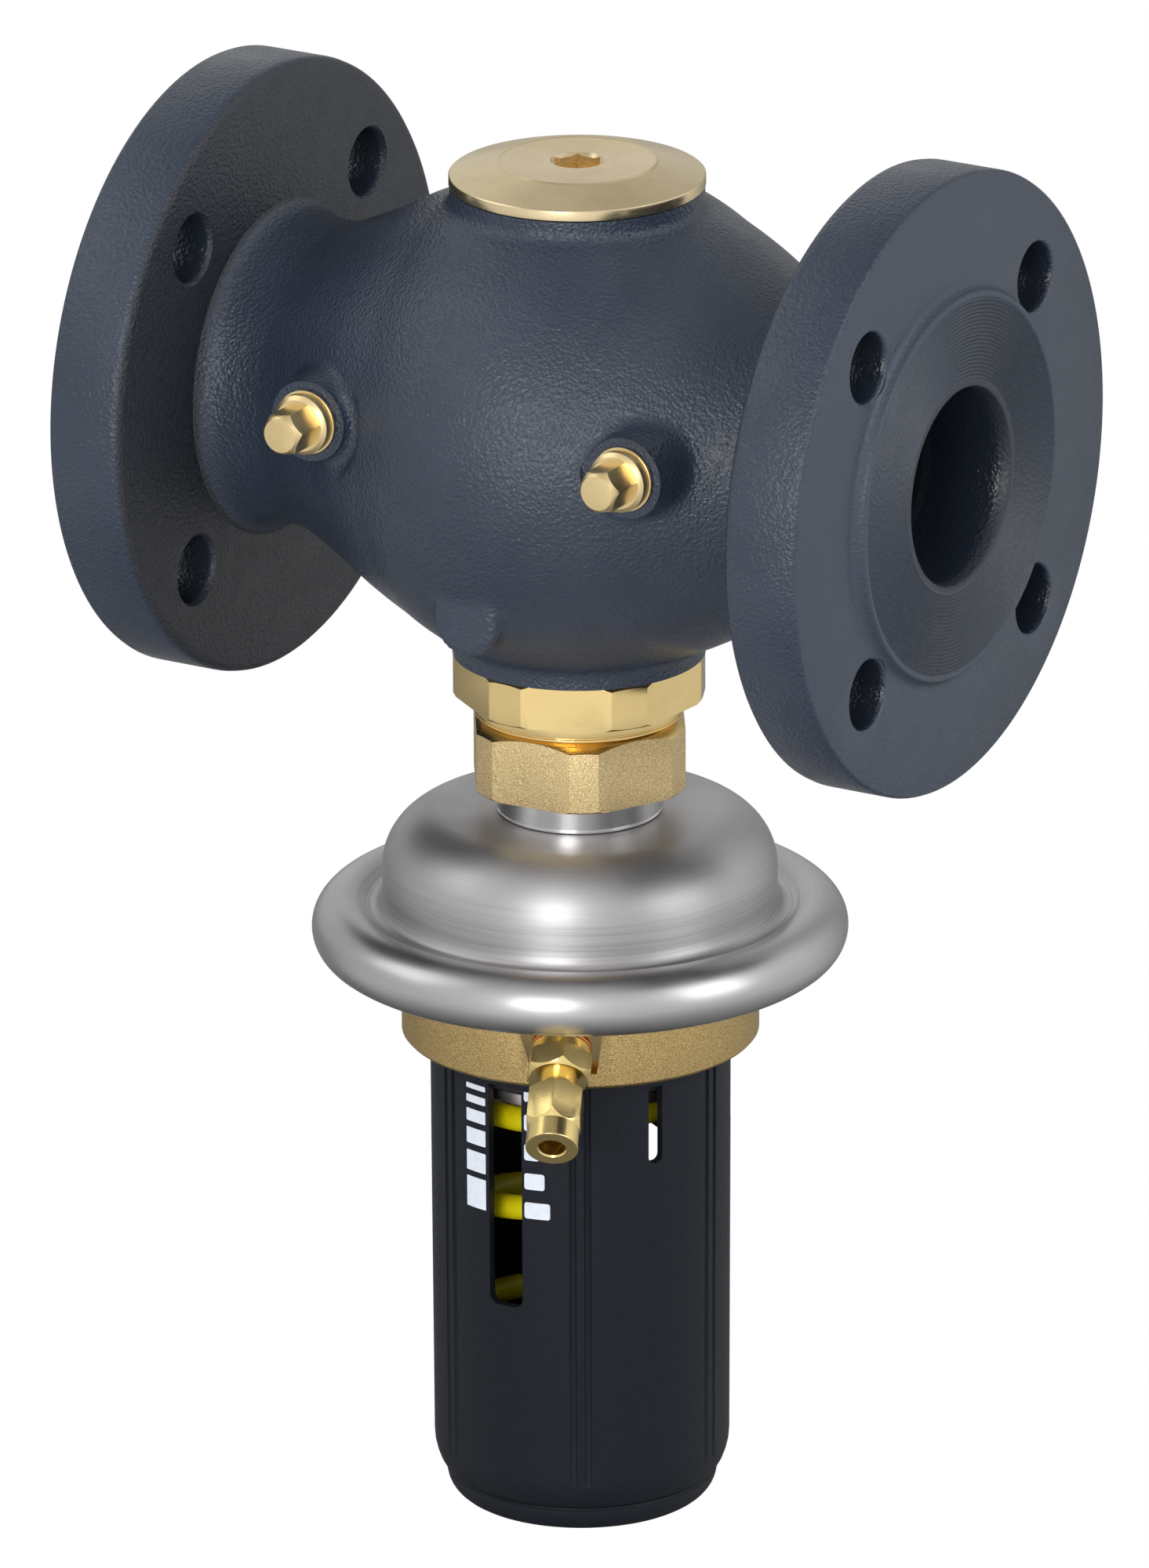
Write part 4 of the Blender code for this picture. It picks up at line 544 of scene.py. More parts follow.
class Surface(Nodes):
    """A node material under construction, its patterns in object coordinates."""

    def __init__(self, name: str, colour: Colour, roughness: float, metallic: float) -> None:
        """Start a material.

        Args:
            name: Its name.
            colour: Its base colour.
            roughness: Its roughness.
            metallic: 1 for a metal, 0 for anything else.
        """
        self.material = bpy.data.materials.new(name)
        self.material.use_nodes = True
        super().__init__(self.material.node_tree, "Object")
        self.shader = self.tree.nodes["Principled BSDF"]
        self.shader.inputs["Base Color"].default_value = (*colour, 1.0)
        self.shader.inputs["Roughness"].default_value = roughness
        self.shader.inputs["Metallic"].default_value = metallic

    def set(self, name: str, value: float | tuple) -> None:
        """Set one of the shader's own sockets."""
        self.shader.inputs[name].default_value = value

    def feed(self, name: str, source: bpy.types.NodeSocket) -> None:
        """Link a socket of the shader."""
        self.tree.links.new(source, self.shader.inputs[name])

    def brush(self, strength: float) -> None:
        """Stretch the highlights across lines that run round the Z axis.

        Args:
            strength: The shader's anisotropy.
        """
        node = self.tree.nodes.new("ShaderNodeTangent")
        node.direction_type = "RADIAL"
        node.axis = "Z"
        self.feed("Tangent", node.outputs[0])
        self.set("Anisotropic", strength)
        self.set("Anisotropic Rotation", 0.25)

    def mapped(self, place: Matrix) -> bpy.types.NodeSocket:
        """Find coordinates in a local frame.

        Args:
            place: The frame, in metres.

        Returns:
            The coordinates.
        """
        location, turn, _ = place.inverted().decompose()
        node = self.tree.nodes.new("ShaderNodeMapping")
        node.inputs["Location"].default_value = location
        node.inputs["Rotation"].default_value = turn.to_euler()
        self.tree.links.new(self.place, node.inputs["Vector"])
        return node.outputs[0]

    def round_axis(self, vector: bpy.types.NodeSocket, around: float, outward: float, up: float
                   ) -> bpy.types.NodeSocket:
        """Find (angle, radius, height) about the local Z axis, each stretched for a pattern.

        Args:
            vector: The coordinates to start from.
            around: Stretch of the angle.
            outward: Stretch of the radius.
            up: Stretch of the height.

        Returns:
            The stretched coordinates.
        """
        east, north, height = self.split(vector)
        radius = self.length(east, north)
        angle = self.maths("ARCTAN2", north, east)
        node = self.tree.nodes.new("ShaderNodeCombineXYZ")
        for socket, value, stretch in zip(node.inputs, (angle, radius, height), (around, outward, up)):
            self.tree.links.new(self.maths("MULTIPLY", value, stretch), socket)
        return node.outputs[0]

    def noise(self, scale: float, detail: float = 2.0, vector: bpy.types.NodeSocket | None = None
              ) -> bpy.types.NodeSocket:
        """Add a noise.

        Args:
            scale: Cells a metre.
            detail: Number of finer octaves.
            vector: Its coordinates, or the object's own.

        Returns:
            The noise, from 0 to 1.
        """
        node = self.tree.nodes.new("ShaderNodeTexNoise")
        node.inputs["Scale"].default_value = scale
        node.inputs["Detail"].default_value = detail
        self.tree.links.new(vector or self.place, node.inputs["Vector"])
        return node.outputs["Fac"]

    def cells(self, scale: float, vector: bpy.types.NodeSocket | None = None) -> bpy.types.NodeSocket:
        """Add a pattern of rounded cells.

        Args:
            scale: Cells a metre.
            vector: Its coordinates, or the object's own.

        Returns:
            The distance to the nearest cell's centre.
        """
        node = self.tree.nodes.new("ShaderNodeTexVoronoi")
        node.feature = "SMOOTH_F1"
        node.inputs["Scale"].default_value = scale
        self.tree.links.new(vector or self.place, node.inputs["Vector"])
        return node.outputs["Distance"]

    def mix(self, share: bpy.types.NodeSocket, first: Colour | bpy.types.NodeSocket,
            second: Colour | bpy.types.NodeSocket) -> bpy.types.NodeSocket:
        """Mix two colours.

        Args:
            share: Share of the second one.
            first: The first colour.
            second: The second colour.

        Returns:
            The mixed colour.
        """
        node = self.tree.nodes.new("ShaderNodeMix")
        node.data_type = "RGBA"
        self.tree.links.new(share, node.inputs["Factor"])
        colour_sockets = [socket for socket in node.inputs if socket.type == "RGBA"]
        for socket, value in zip(colour_sockets, (first, second)):
            if isinstance(value, tuple):
                socket.default_value = (*value, 1.0)
            else:
                self.tree.links.new(value, socket)
        return [socket for socket in node.outputs if socket.type == "RGBA"][0]

    def bump(self, height: bpy.types.NodeSocket, depth: float, under: bpy.types.NodeSocket | None = None
             ) -> bpy.types.NodeSocket:
        """Add a relief.

        Args:
            height: Its height from 0 to 1.
            depth: Its depth in millimetres.
            under: Normal of a relief below it.

        Returns:
            The normal.
        """
        node = self.tree.nodes.new("ShaderNodeBump")
        node.inputs["Distance"].default_value = depth * MM
        self.tree.links.new(height, node.inputs["Height"])
        if under is not None:
            self.tree.links.new(under, node.inputs["Normal"])
        return node.outputs[0]


@dataclass(frozen=True)
class CastPaint:
    """Slate paint over a sand casting, flatter and greyer on the flanges' faces.

    Peel and grain are each given as cells a metre and depth in millimetres. The bores, bolt holes, face
    grooves and flanges' backs get painted shade.
    """

    gloss: Colour = (0.026, 0.038, 0.062)
    clouds: Colour = (0.034, 0.047, 0.073)
    face: Colour = (0.037, 0.050, 0.075)
    # Painted shade: the darker colour in the fine grooves of the raised faces.
    groove: Colour = (0.018, 0.026, 0.042)
    # Painted shade: the darker colour inside the pipe bores and bolt holes.
    shade: Colour = (0.014, 0.019, 0.030)
    # Painted shade: the flanges' backs are darker than the rest of the paint; the next colour is a lighter
    # grey mottle on them.
    back: Colour = (0.012, 0.017, 0.028)
    back_mottle: Colour = (0.034, 0.035, 0.038)
    roughness: float = 0.14
    groove_start: float = 50.9
    groove_pitch: float = 1.02
    plate_start: float = 90.0
    plate_end: float = 91.2
    front: float = 111.6
    bore_edge: tuple[float, float] = (27.0, 28.0)
    holes_edge: tuple[float, float] = (76.0, 78.0)
    peel: tuple[float, float] = (1050.0, 0.30)
    grain: tuple[float, float] = (1900.0, 0.22)

    def make(self) -> bpy.types.Material:
        """Build the material.

        Returns:
            The material.
        """
        surface = Surface("slate_paint", self.gloss, self.roughness, 0.0)
        east = surface.maths("ABSOLUTE", surface.split(surface.place)[0])
        front = surface.ranged(east, self.front * MM, (self.front + 0.4) * MM, 0.0, 1.0)
        # Mask of the flanges' backs, which take the darker painted shade.
        back_low = surface.ranged(east, (self.plate_start - 0.6) * MM, self.plate_start * MM, 0.0, 1.0)
        back_high = surface.ranged(east, self.plate_end * MM, (self.plate_end + 1.0) * MM, 1.0, 0.0)
        back = surface.maths("MULTIPLY", back_low, back_high)
        inside = surface.maths("MULTIPLY", surface.ranged(east, (self.plate_end + 0.4) * MM,
                                                          (self.plate_end + 1.4) * MM, 0.0, 1.0),
                               surface.ranged(east, (self.front - 0.4) * MM, self.front * MM, 1.0, 0.0))
        broad = surface.noise(38.0, 3.0)
        tint = surface.mix(surface.ranged(broad, 0.35, 0.65, 0.0, 1.0), self.gloss, self.clouds)
        radius = self.radius(surface)
        # Inside the pipe bores and bolt holes the colour turns to painted shade; the same mask softens the
        # relief there.
        in_bore = surface.ranged(radius, *(edge * MM for edge in self.bore_edge), 1.0, 0.0)
        in_plate = surface.ranged(radius, *(edge * MM for edge in self.holes_edge), 1.0, 0.0)
        bore_shade_mask = surface.maths("MAXIMUM", in_bore, surface.maths("MULTIPLY", in_plate, inside))
        # The fine grooves of the raised faces take the darker painted shade.
        colour = surface.mix(self.grooves(surface, east), surface.mix(front, tint, self.face), self.groove)
        colour = surface.mix(bore_shade_mask, colour, self.shade)
        # A fine noise lays the lighter grey mottle on the backs, denser towards the bottom.
        grit = surface.ranged(surface.noise(1500.0, 3.0), 0.35, 0.75, 0.0, 1.0)
        height = surface.split(surface.place)[2]
        mottle = surface.maths("MULTIPLY", grit, surface.ranged(height, -20.0 * MM, 40.0 * MM, 1.0, 0.35))
        back_colour = surface.mix(mottle, self.back, self.back_mottle)
        surface.feed("Base Color", surface.mix(back, colour, back_colour))
        rough = surface.ranged(surface.noise(120.0, 4.0), 0.3, 0.7, self.roughness - 0.04,
                               self.roughness + 0.06)
        flat = surface.maths("MAXIMUM", front, back)
        surface.feed("Roughness", surface.maths("ADD", rough, surface.maths("MULTIPLY", flat, 0.25)))
        cast = surface.ranged(surface.maths("MAXIMUM", front, bore_shade_mask), 0.0, 1.0, 1.0, 0.55)
        (peel_cells, peel_depth), (grain_cells, grain_depth) = self.peel, self.grain
        peel = surface.bump(surface.maths("MULTIPLY", surface.cells(peel_cells), cast), peel_depth)
        grain = surface.maths("MULTIPLY", surface.noise(grain_cells, 3.0), cast)
        surface.feed("Normal", surface.bump(grain, grain_depth, peel))
        return surface.material

    def radius(self, surface: Surface) -> bpy.types.NodeSocket:
        """Return the distance from the pipe axis."""
        _, north, up = surface.split(surface.place)
        return surface.length(north, up)

    def grooves(self, surface: Surface, east: bpy.types.NodeSocket) -> bpy.types.NodeSocket:
        """Find the painted shade in the fine grooves of the raised faces.

        Args:
            surface: The material under construction.
            east: Distance from the middle along the pipe.

        Returns:
            The share of painted shade.
        """
        radius = self.radius(surface)
        turns = surface.maths("DIVIDE", surface.maths("SUBTRACT", self.groove_start * MM, radius),
                              self.groove_pitch * MM)
        wave = surface.maths("ABSOLUTE", surface.maths("SUBTRACT", surface.maths("FRACT", turns), 0.5))
        inside = surface.ranged(radius, (self.groove_start - 1.6) * MM, (self.groove_start - 1.0) * MM,
                                1.0, 0.0)
        raised = surface.ranged(east, (self.front + 2.6) * MM, (self.front + 2.9) * MM, 0.0, 1.0)
        shade = surface.ranged(wave, 0.05, 0.30, 0.0, 0.95)
        return surface.maths("MULTIPLY", shade, surface.maths("MULTIPLY", inside, raised))


@dataclass(frozen=True)
class TurnedMetal:
    """Metal with lathe lines round an axis."""

    name: str
    colour: Colour
    roughness: float
    place: Matrix
    line: float = 0.35
    depth: float = 0.012
    stain: Colour = (0.45, 0.25, 0.08)
    stain_share: float = 0.15
    brush: float = 0.0

    def make(self) -> bpy.types.Material:
        """Build the material.

        Returns:
            The material.
        """
        surface = Surface(self.name, self.colour, self.roughness, 1.0)
        if self.brush:
            surface.brush(self.brush)
        local = surface.mapped(self.place)
        lines = surface.round_axis(local, 0.0008, 1.0, 1.0)
        fine = surface.noise(1.0 / (self.line * MM), 3.0, lines)
        broad = surface.noise(160.0, 3.0)
        share = surface.ranged(broad, 0.45, 0.8, 0.0, self.stain_share)
        surface.feed("Base Color", surface.mix(share, self.colour, self.stain))
        surface.feed("Roughness", surface.ranged(fine, 0.2, 0.8, self.roughness - 0.05,
                                                 self.roughness + 0.08))
        surface.feed("Normal", surface.bump(fine, self.depth))
        return surface.material


@dataclass(frozen=True)
class BlastedBrass:
    """Brass with the coarse grain of a blasted casting or forging."""

    name: str
    pit: Colour
    peak: Colour

    def make(self) -> bpy.types.Material:
        """Build the material.

        Returns:
            The material.
        """
        surface = Surface(self.name, self.peak, 0.42, 1.0)
        grain = surface.noise(2700.0, 2.0)
        share = surface.ranged(grain, 0.36, 0.66, 0.0, 1.0)
        surface.feed("Base Color", surface.mix(share, self.pit, self.peak))
        surface.feed("Roughness", surface.ranged(surface.noise(1100.0), 0.3, 0.7, 0.36, 0.52))
        surface.feed("Normal", surface.bump(grain, 0.15))
        return surface.material


@dataclass(frozen=True)
class PressedSheet:
    """Stainless sheet pressed to shape, with faint lines of the tool round its axis."""

    colour: Colour = (0.54, 0.532, 0.538)
    # A darker tone that the tool lines take, strongest at the crease.
    mottle: Colour = (0.36, 0.335, 0.315)
    crease_radius: float = 55.5
    satin: float = 0.46
    bright: float = 0.34

    def make(self) -> bpy.types.Material:
        """Build the material.

        Returns:
            The material.
        """
        surface = Surface("pressed_sheet", self.colour, 0.36, 1.0)
        surface.brush(0.6)
        lines = surface.round_axis(surface.place, 0.0008, 1.0, 1.0)
        fine = surface.noise(1400.0, 3.0, lines)
        radius = surface.split(lines)[1]
        offset = surface.maths("ABSOLUTE", surface.maths("SUBTRACT", radius, self.crease_radius * MM))
        near = surface.ranged(offset, 1.0 * MM, 4.5 * MM, 1.0, 0.10)
        # The tool lines near the crease turn towards the darker tone.
        scores = surface.maths("MULTIPLY", surface.ranged(fine, 0.42, 0.7, 0.0, 1.0), near)
        surface.feed("Base Color", surface.mix(scores, self.colour, self.mottle))
        patchy = surface.ranged(surface.noise(70.0, 3.0), 0.3, 0.7, -0.03, 0.03)
        polish = surface.ranged(radius, 53.0 * MM, 58.0 * MM, self.satin, self.bright)
        surface.feed("Roughness", surface.maths("ADD", polish, patchy))
        surface.feed("Normal", surface.bump(surface.maths("MULTIPLY", fine, near), 0.035))
        return surface.material


@dataclass(frozen=True)
class MouldedPlastic:
    """Matte moulded plastic with a faint grain."""

    name: str
    colour: Colour
    roughness: float
    shine: float = 0.2

    def make(self) -> bpy.types.Material:
        """Build the material.

        Returns:
            The material.
        """
        surface = Surface(self.name, self.colour, self.roughness, 0.0)
        surface.set("Specular IOR Level", self.shine)
        lighter = tuple(1.35 * part for part in self.colour)
        share = surface.ranged(surface.noise(420.0, 4.0), 0.3, 0.7, 0.0, 0.6)
        surface.feed("Base Color", surface.mix(share, self.colour, lighter))
        surface.feed("Roughness", surface.ranged(surface.noise(900.0, 3.0), 0.3, 0.7, self.roughness - 0.05,
                                                 self.roughness + 0.06))
        surface.feed("Normal", surface.bump(surface.noise(1800.0, 3.0), 0.03))
        return surface.material


@dataclass(frozen=True)
class PlainCoat:
    """A smooth coat, such as the spring's yellow or the scale's white."""

    name: str
    colour: Colour
    roughness: float
    metallic: float = 0.0

    def make(self) -> bpy.types.Material:
        """Build the material.

        Returns:
            The material.
        """
        surface = Surface(self.name, self.colour, self.roughness, self.metallic)
        darker = tuple(0.78 * part for part in self.colour)
        share = surface.ranged(surface.noise(600.0, 4.0), 0.45, 0.8, 0.0, 0.5)
        surface.feed("Base Color", surface.mix(share, self.colour, darker))
        surface.feed("Normal", surface.bump(surface.noise(1400.0, 2.0), 0.02))
        return surface.material


BRASS: Colour = (0.84, 0.64, 0.30)
STEEL: Colour = (0.66, 0.66, 0.67)
ROOM = [(0.0, 0.30), (0.09, 0.60), (0.22, 0.50), (0.33, 0.58), (0.46, 0.78), (0.55, 0.88), (0.67, 0.86),
        (0.90, 0.78), (1.0, 0.35)]
# Glow of the floor by bearing as mirrors see it, brightest in front: a painted pool of light.
TABLE = [(0.0, 0.30), (0.20, 0.27), (0.225, 0.30), (0.26, 0.55), (0.29, 0.66), (0.42, 0.76), (0.50, 1.0),
         (0.56, 1.0), (0.68, 0.80), (0.90, 0.70), (1.0, 0.34)]
HEIGHT = [(0.0, 1.0), (0.30, 1.15), (0.64, 1.12), (0.82, 0.78), (1.0, 0.62)]
FRONT = Matrix.Rotation(math.pi / 2, 4, "X")


@dataclass
class CastBody:
    """The painted casting: globe, necks, hubs, bosses, flanges and what is bored into it."""

    globe: float = 68.0
    wall: float = 10.0
    neck: float = 33.4
    neck_face: float = 64.1
    flange: float = 82.5
    plate_back: float = 90.5
    plate_front: float = 112.0
    face: float = 115.0
    raised: float = 51.3
    bore: float = 25.0
    mouth: float = 26.4
    bolt_circle: float = 62.5
    bolt_hole: float = 9.0
    plug_x: float = PLUG_X
    plug_z: float = PLUG_Z
    plug_face: float = PLUG_FACE
    plug_boss: float = 10.8
    pocket: float = 15.8
    pocket_floor: float = -55.3
    groove_pitch: float = 1.02
    groove_count: int = 22
    groove_depth: float = 0.34
    voxel: float = 1.2

    def build(self) -> None:
        """Make the casting and fix it to the casing."""
        body = self.core()
        for side in (1.0, -1.0):
            shape(body, self.flange_plate(side), Join.ADD, Solver.MANIFOLD)
        shape(body, self.chambers(), Join.CUT, Solver.MANIFOLD)
        for side in (1.0, -1.0):
            shape(body, self.pipe_bore(side), Join.CUT, Solver.MANIFOLD)
            for index in range(4):
                shape(body, self.bolt_hole_tool(side, index), Join.CUT, Solver.MANIFOLD)
            place = Vector((side * self.plug_x, 0.0, self.plug_z))
            hole = rod("plug_hole", 5.3, place + Vector((0.0, -70.0, 0.0)), place + Vector((0.0, -30.0, 0.0)))
            shape(body, hole, Join.CUT, Solver.MANIFOLD)
        for low, high in ((44.0, 70.0), (-70.0, -44.0)):
            shape(body, stem_rod("neck_bore", 24.3, low, high, FACETS), Join.CUT, Solver.MANIFOLD)
        shape(body, stem_rod("seat_hole", 22.3, -12.0, 12.0, FACETS), Join.CUT, Solver.MANIFOLD)
        body.name = "painted_body"
        finish_piece(body, CastPaint().make(), Group.CASING, Slot.PAINT, "valve_body", angle=38.0)

    def core(self) -> bpy.types.Object:
        """Cast the globe, necks, hubs and bosses as one rounded form.

        Returns:
            The solid casting.
        """
        bpy.ops.object.select_all(action="DESELECT")
        bpy.ops.mesh.primitive_uv_sphere_add(segments=96, ring_count=64, radius=self.globe * MM)
        body = bpy.context.object
        reach = self.neck_face + 8.0
        shape(body, stem_rod("necks", self.neck, -reach, reach, FACETS), Join.ADD)
        half = [(48.0, 93.0), (45.2, 90.3), (43.2, 88.8), (42.2, 87.0), (41.4, 84.0), (40.8, 78.5),
                (41.2, 73.0), (42.8, 68.0), (45.5, 62.0), (48.5, 56.0), (51.6, 50.0), (54.8, 44.0),
                (57.8, 37.5), (60.5, 31.0)]
        run = [(0.0, 93.0)] + half + [(radius, -place) for radius, place in reversed(half)] + [(0.0, -93.0)]
        shape(body, lathe("hubs", run, FACETS, 0.0, along_pipe(1.0)), Join.ADD)
        sides = (-1.0, 1.0)
        pocket = rod("pocket", self.pocket, Vector((-self.plug_x, -80.0, self.plug_z)),
                     Vector((-self.plug_x, self.pocket_floor, self.plug_z)))
        shape(body, pocket, Join.CUT)
        for side in sides:
            place = at(side * self.plug_x, self.plug_face, self.plug_z) @ FRONT
            draft = [(0.0, 4.0), (self.plug_boss, 4.0), (self.plug_boss, 0.0), (self.plug_boss + 2.4, -14.0),
                     (self.plug_boss + 3.2, -28.0), (0.0, -28.0)]
            shape(body, lathe("boss", draft, SMALL_FACETS, 0.0, place), Join.ADD)
        blank = rod("blank_boss", 9.6, Vector((0.0, -59.3, -39.0)), Vector((0.0, -25.0, -39.0)))
        shape(body, blank, Join.ADD)
        modify(body, "REMESH", mode="VOXEL", voxel_size=self.voxel * MM)
        modify(body, "SMOOTH", factor=0.5, iterations=6)
        for side in sides:
            top = block("trim", (90.0, 90.0, 20.0), at(0.0, 0.0, side * (self.neck_face + 10.0)))
            shape(body, top, Join.CUT, Solver.MANIFOLD)
            axis = Vector((side * self.plug_x, 0.0, self.plug_z))
            mill = rod("mill", 12.6, axis + Vector((0.0, -80.0, 0.0)),
                       axis + Vector((0.0, self.plug_face, 0.0)))
            shape(body, mill, Join.CUT, Solver.MANIFOLD)
        return body

    def flange_plate(self, side: float) -> bpy.types.Object:
        """Turn one flange with its raised face and the fine grooves on it.

        Args:
            side: 1 for the outlet, -1 for the inlet.

        Returns:
            The flange.
        """
        outer, raised, back, front = self.flange, self.raised, self.plate_back, self.plate_front
        profile = [(0.0, back), (outer - 2.8, back), (outer - 1.2, back + 0.5), (outer - 0.3, back + 1.4),
                   (outer, back + 2.8), (outer, front - 1.3), (outer - 0.35, front - 0.5),
                   (outer - 1.2, front), (raised + 3.0, front), (raised + 1.8, front + 0.25),
                   (raised + 0.9, front + 0.9), (raised + 0.3, self.face - 0.9),
                   (raised, self.face - 0.25), (raised - 0.4, self.face)]
        for index in range(self.groove_count):
            radius = raised - 1.3 - index * self.groove_pitch
            profile += [(radius, self.face), (radius - self.groove_pitch / 2, self.face - self.groove_depth)]
        profile.append((0.0, self.face))
        return lathe("flange_plate", profile, RIM_FACETS, 0.0, along_pipe(side))

    def pipe_bore(self, side: float) -> bpy.types.Object:
        """Make the tool for one pipe bore.

        Args:
            side: 1 for the outlet, -1 for the inlet.

        Returns:
            The tool.
        """
        profile = [(0.0, 118.0), (self.mouth + 0.9, 118.0), (self.mouth + 0.4, self.face),
                   (self.mouth - 0.4, self.face - 1.0), (self.bore + 0.4, self.face - 6.0), (self.bore, 95.0),
                   (self.bore, 44.0), (0.0, 44.0)]
        return lathe("pipe_bore", profile, FACETS, 0.0, along_pipe(side))

    def bolt_hole_tool(self, side: float, index: int) -> bpy.types.Object:
        """Make the tool for one bolt hole, which also eases the hole's rims.

        Args:
            side: 1 for the outlet, -1 for the inlet.
            index: Number of the hole, from 0 to 3.

        Returns:
            The tool.
        """
        radius = self.bolt_hole
        profile = [(0.0, 86.0), (radius + 1.2, 86.0), (radius + 0.9, self.plate_back),
                   (radius + 0.25, self.plate_back + 0.6), (radius, self.plate_back + 1.4),
                   (radius, self.plate_front - 1.4), (radius + 0.25, self.plate_front - 0.6),
                   (radius + 0.9, self.plate_front), (radius + 1.2, 117.0), (0.0, 117.0)]
        angle = math.radians(45.0 + 90.0 * index)
        offset = Vector((0.0, math.cos(angle), math.sin(angle))) * self.bolt_circle * MM
        return lathe("bolt_hole", profile, PIN_FACETS, 0.0, Matrix.Translation(offset) @ along_pipe(side))

    def chambers(self) -> bpy.types.Object:
        """Make the tool for the hollow of the globe, with the stepped partition left standing.

        Returns:
            The tool.
        """
        bpy.ops.object.select_all(action="DESELECT")
        bpy.ops.mesh.primitive_uv_sphere_add(segments=64, ring_count=32,
                                             radius=(self.globe - self.wall) * MM)
        hollow = bpy.context.object
        hollow.name = "chambers"
        outline = [(-32.0, 70.0), (-26.0, 70.0), (-26.0, 5.0), (32.0, 5.0), (32.0, -70.0), (26.0, -70.0),
                   (26.0, -5.0), (-32.0, -5.0)]
        shape(hollow, sheet_of("partition", outline, 140.0, FRONT), Join.CUT)
        return hollow


@dataclass
class ValveCover:
    """The turned brass plug on top of the body."""

    radius: float = 33.6
    rim_foot: float = 64.4
    rim_top: float = 67.3
    top: float = 70.7
    flat: float = 20.6
    socket: float = 12.0
    socket_floor: float = 63.7

    def build(self) -> None:
        """Make the cover and fix it to the casing."""
        foot, top, flat = self.rim_foot - 14.0, self.top, self.flat
        profile = [(0.0, top), (flat - 0.5, top), (flat - 0.3, top + 0.15), (flat + 0.2, top + 0.1),
                   (flat + 0.6, top - 0.25), (self.radius - 0.3, self.rim_top),
                   (self.radius, self.rim_top - 0.3), (self.radius, self.rim_foot), (24.0, self.rim_foot),
                   (24.0, foot), (18.0, foot), (18.0, foot + 6.0), (0.0, foot + 6.0)]
        cover = lathe("brass_cover", profile, BROAD_FACETS, 0.25)
        shape(cover, prism("socket", 6, self.socket, self.socket_floor, top + 4.0, 0.0), Join.CUT)
        lead_in = lathe("lead_in", [(0.0, top + 1.0), (8.2, top + 1.0), (6.2, top - 0.9), (0.0, top - 0.9)],
                        SMALL_FACETS, 0.0)
        shape(cover, lead_in, Join.CUT)
        brass = TurnedMetal("cover_brass", (0.865, 0.71, 0.44), 0.26, Matrix(), 0.45, 0.02, brush=0.6)
        finish_piece(cover, brass.make(), Group.CASING, Slot.BRASS, "valve_cover", angle=20.0)


@dataclass
class TestPlug:
    """One test plug with its washer on the front of the body."""

    side: float
    node: str
    across: float = 10.5
    collar: float = 8.1
    turn: float = 8.0

    def build(self) -> None:
        """Make the plug and its washer and fix them to the casing."""
        place = at(self.side * PLUG_X, PLUG_FACE, PLUG_Z) @ FRONT
        ring = [(5.3, 0.3), (8.6, 0.3), (8.6, 1.2), (5.3, 1.2), (5.3, 0.3)]
        washer = lathe(self.node + "_ring", ring, SMALL_FACETS, 0.2, place)
        brass = TurnedMetal(self.node + "_brass", (0.86, 0.68, 0.36), 0.33, place, 0.6, 0.05,
                            stain_share=0.2).make()
        finish_piece(washer, brass, Group.CASING, Slot.BRASS, self.node + "_washer")
        head = lathe("head", [(0.0, 14.2), (4.6, 14.2), (6.05, 12.5), (6.05, 4.0), (0.0, 4.0)],
                     SMALL_FACETS, 0.12)
        shape(head, prism("flats", 6, self.across, 3.0, 16.0, self.turn), Join.COMMON)
        turned = [(0.0, 4.7), (6.9, 4.7), (self.collar, 3.9), (self.collar, 1.5), (5.0, 1.5), (5.0, -11.0),
                  (0.0, -11.0)]
        plug = lathe(self.node + "_piece", turned, SMALL_FACETS, 0.2)
        shape(plug, head, Join.ADD)
        break_edges(plug, 0.12)
        settle(plug, place)
        finish_piece(plug, brass, Group.CASING, Slot.BRASS, self.node, angle=14.0)


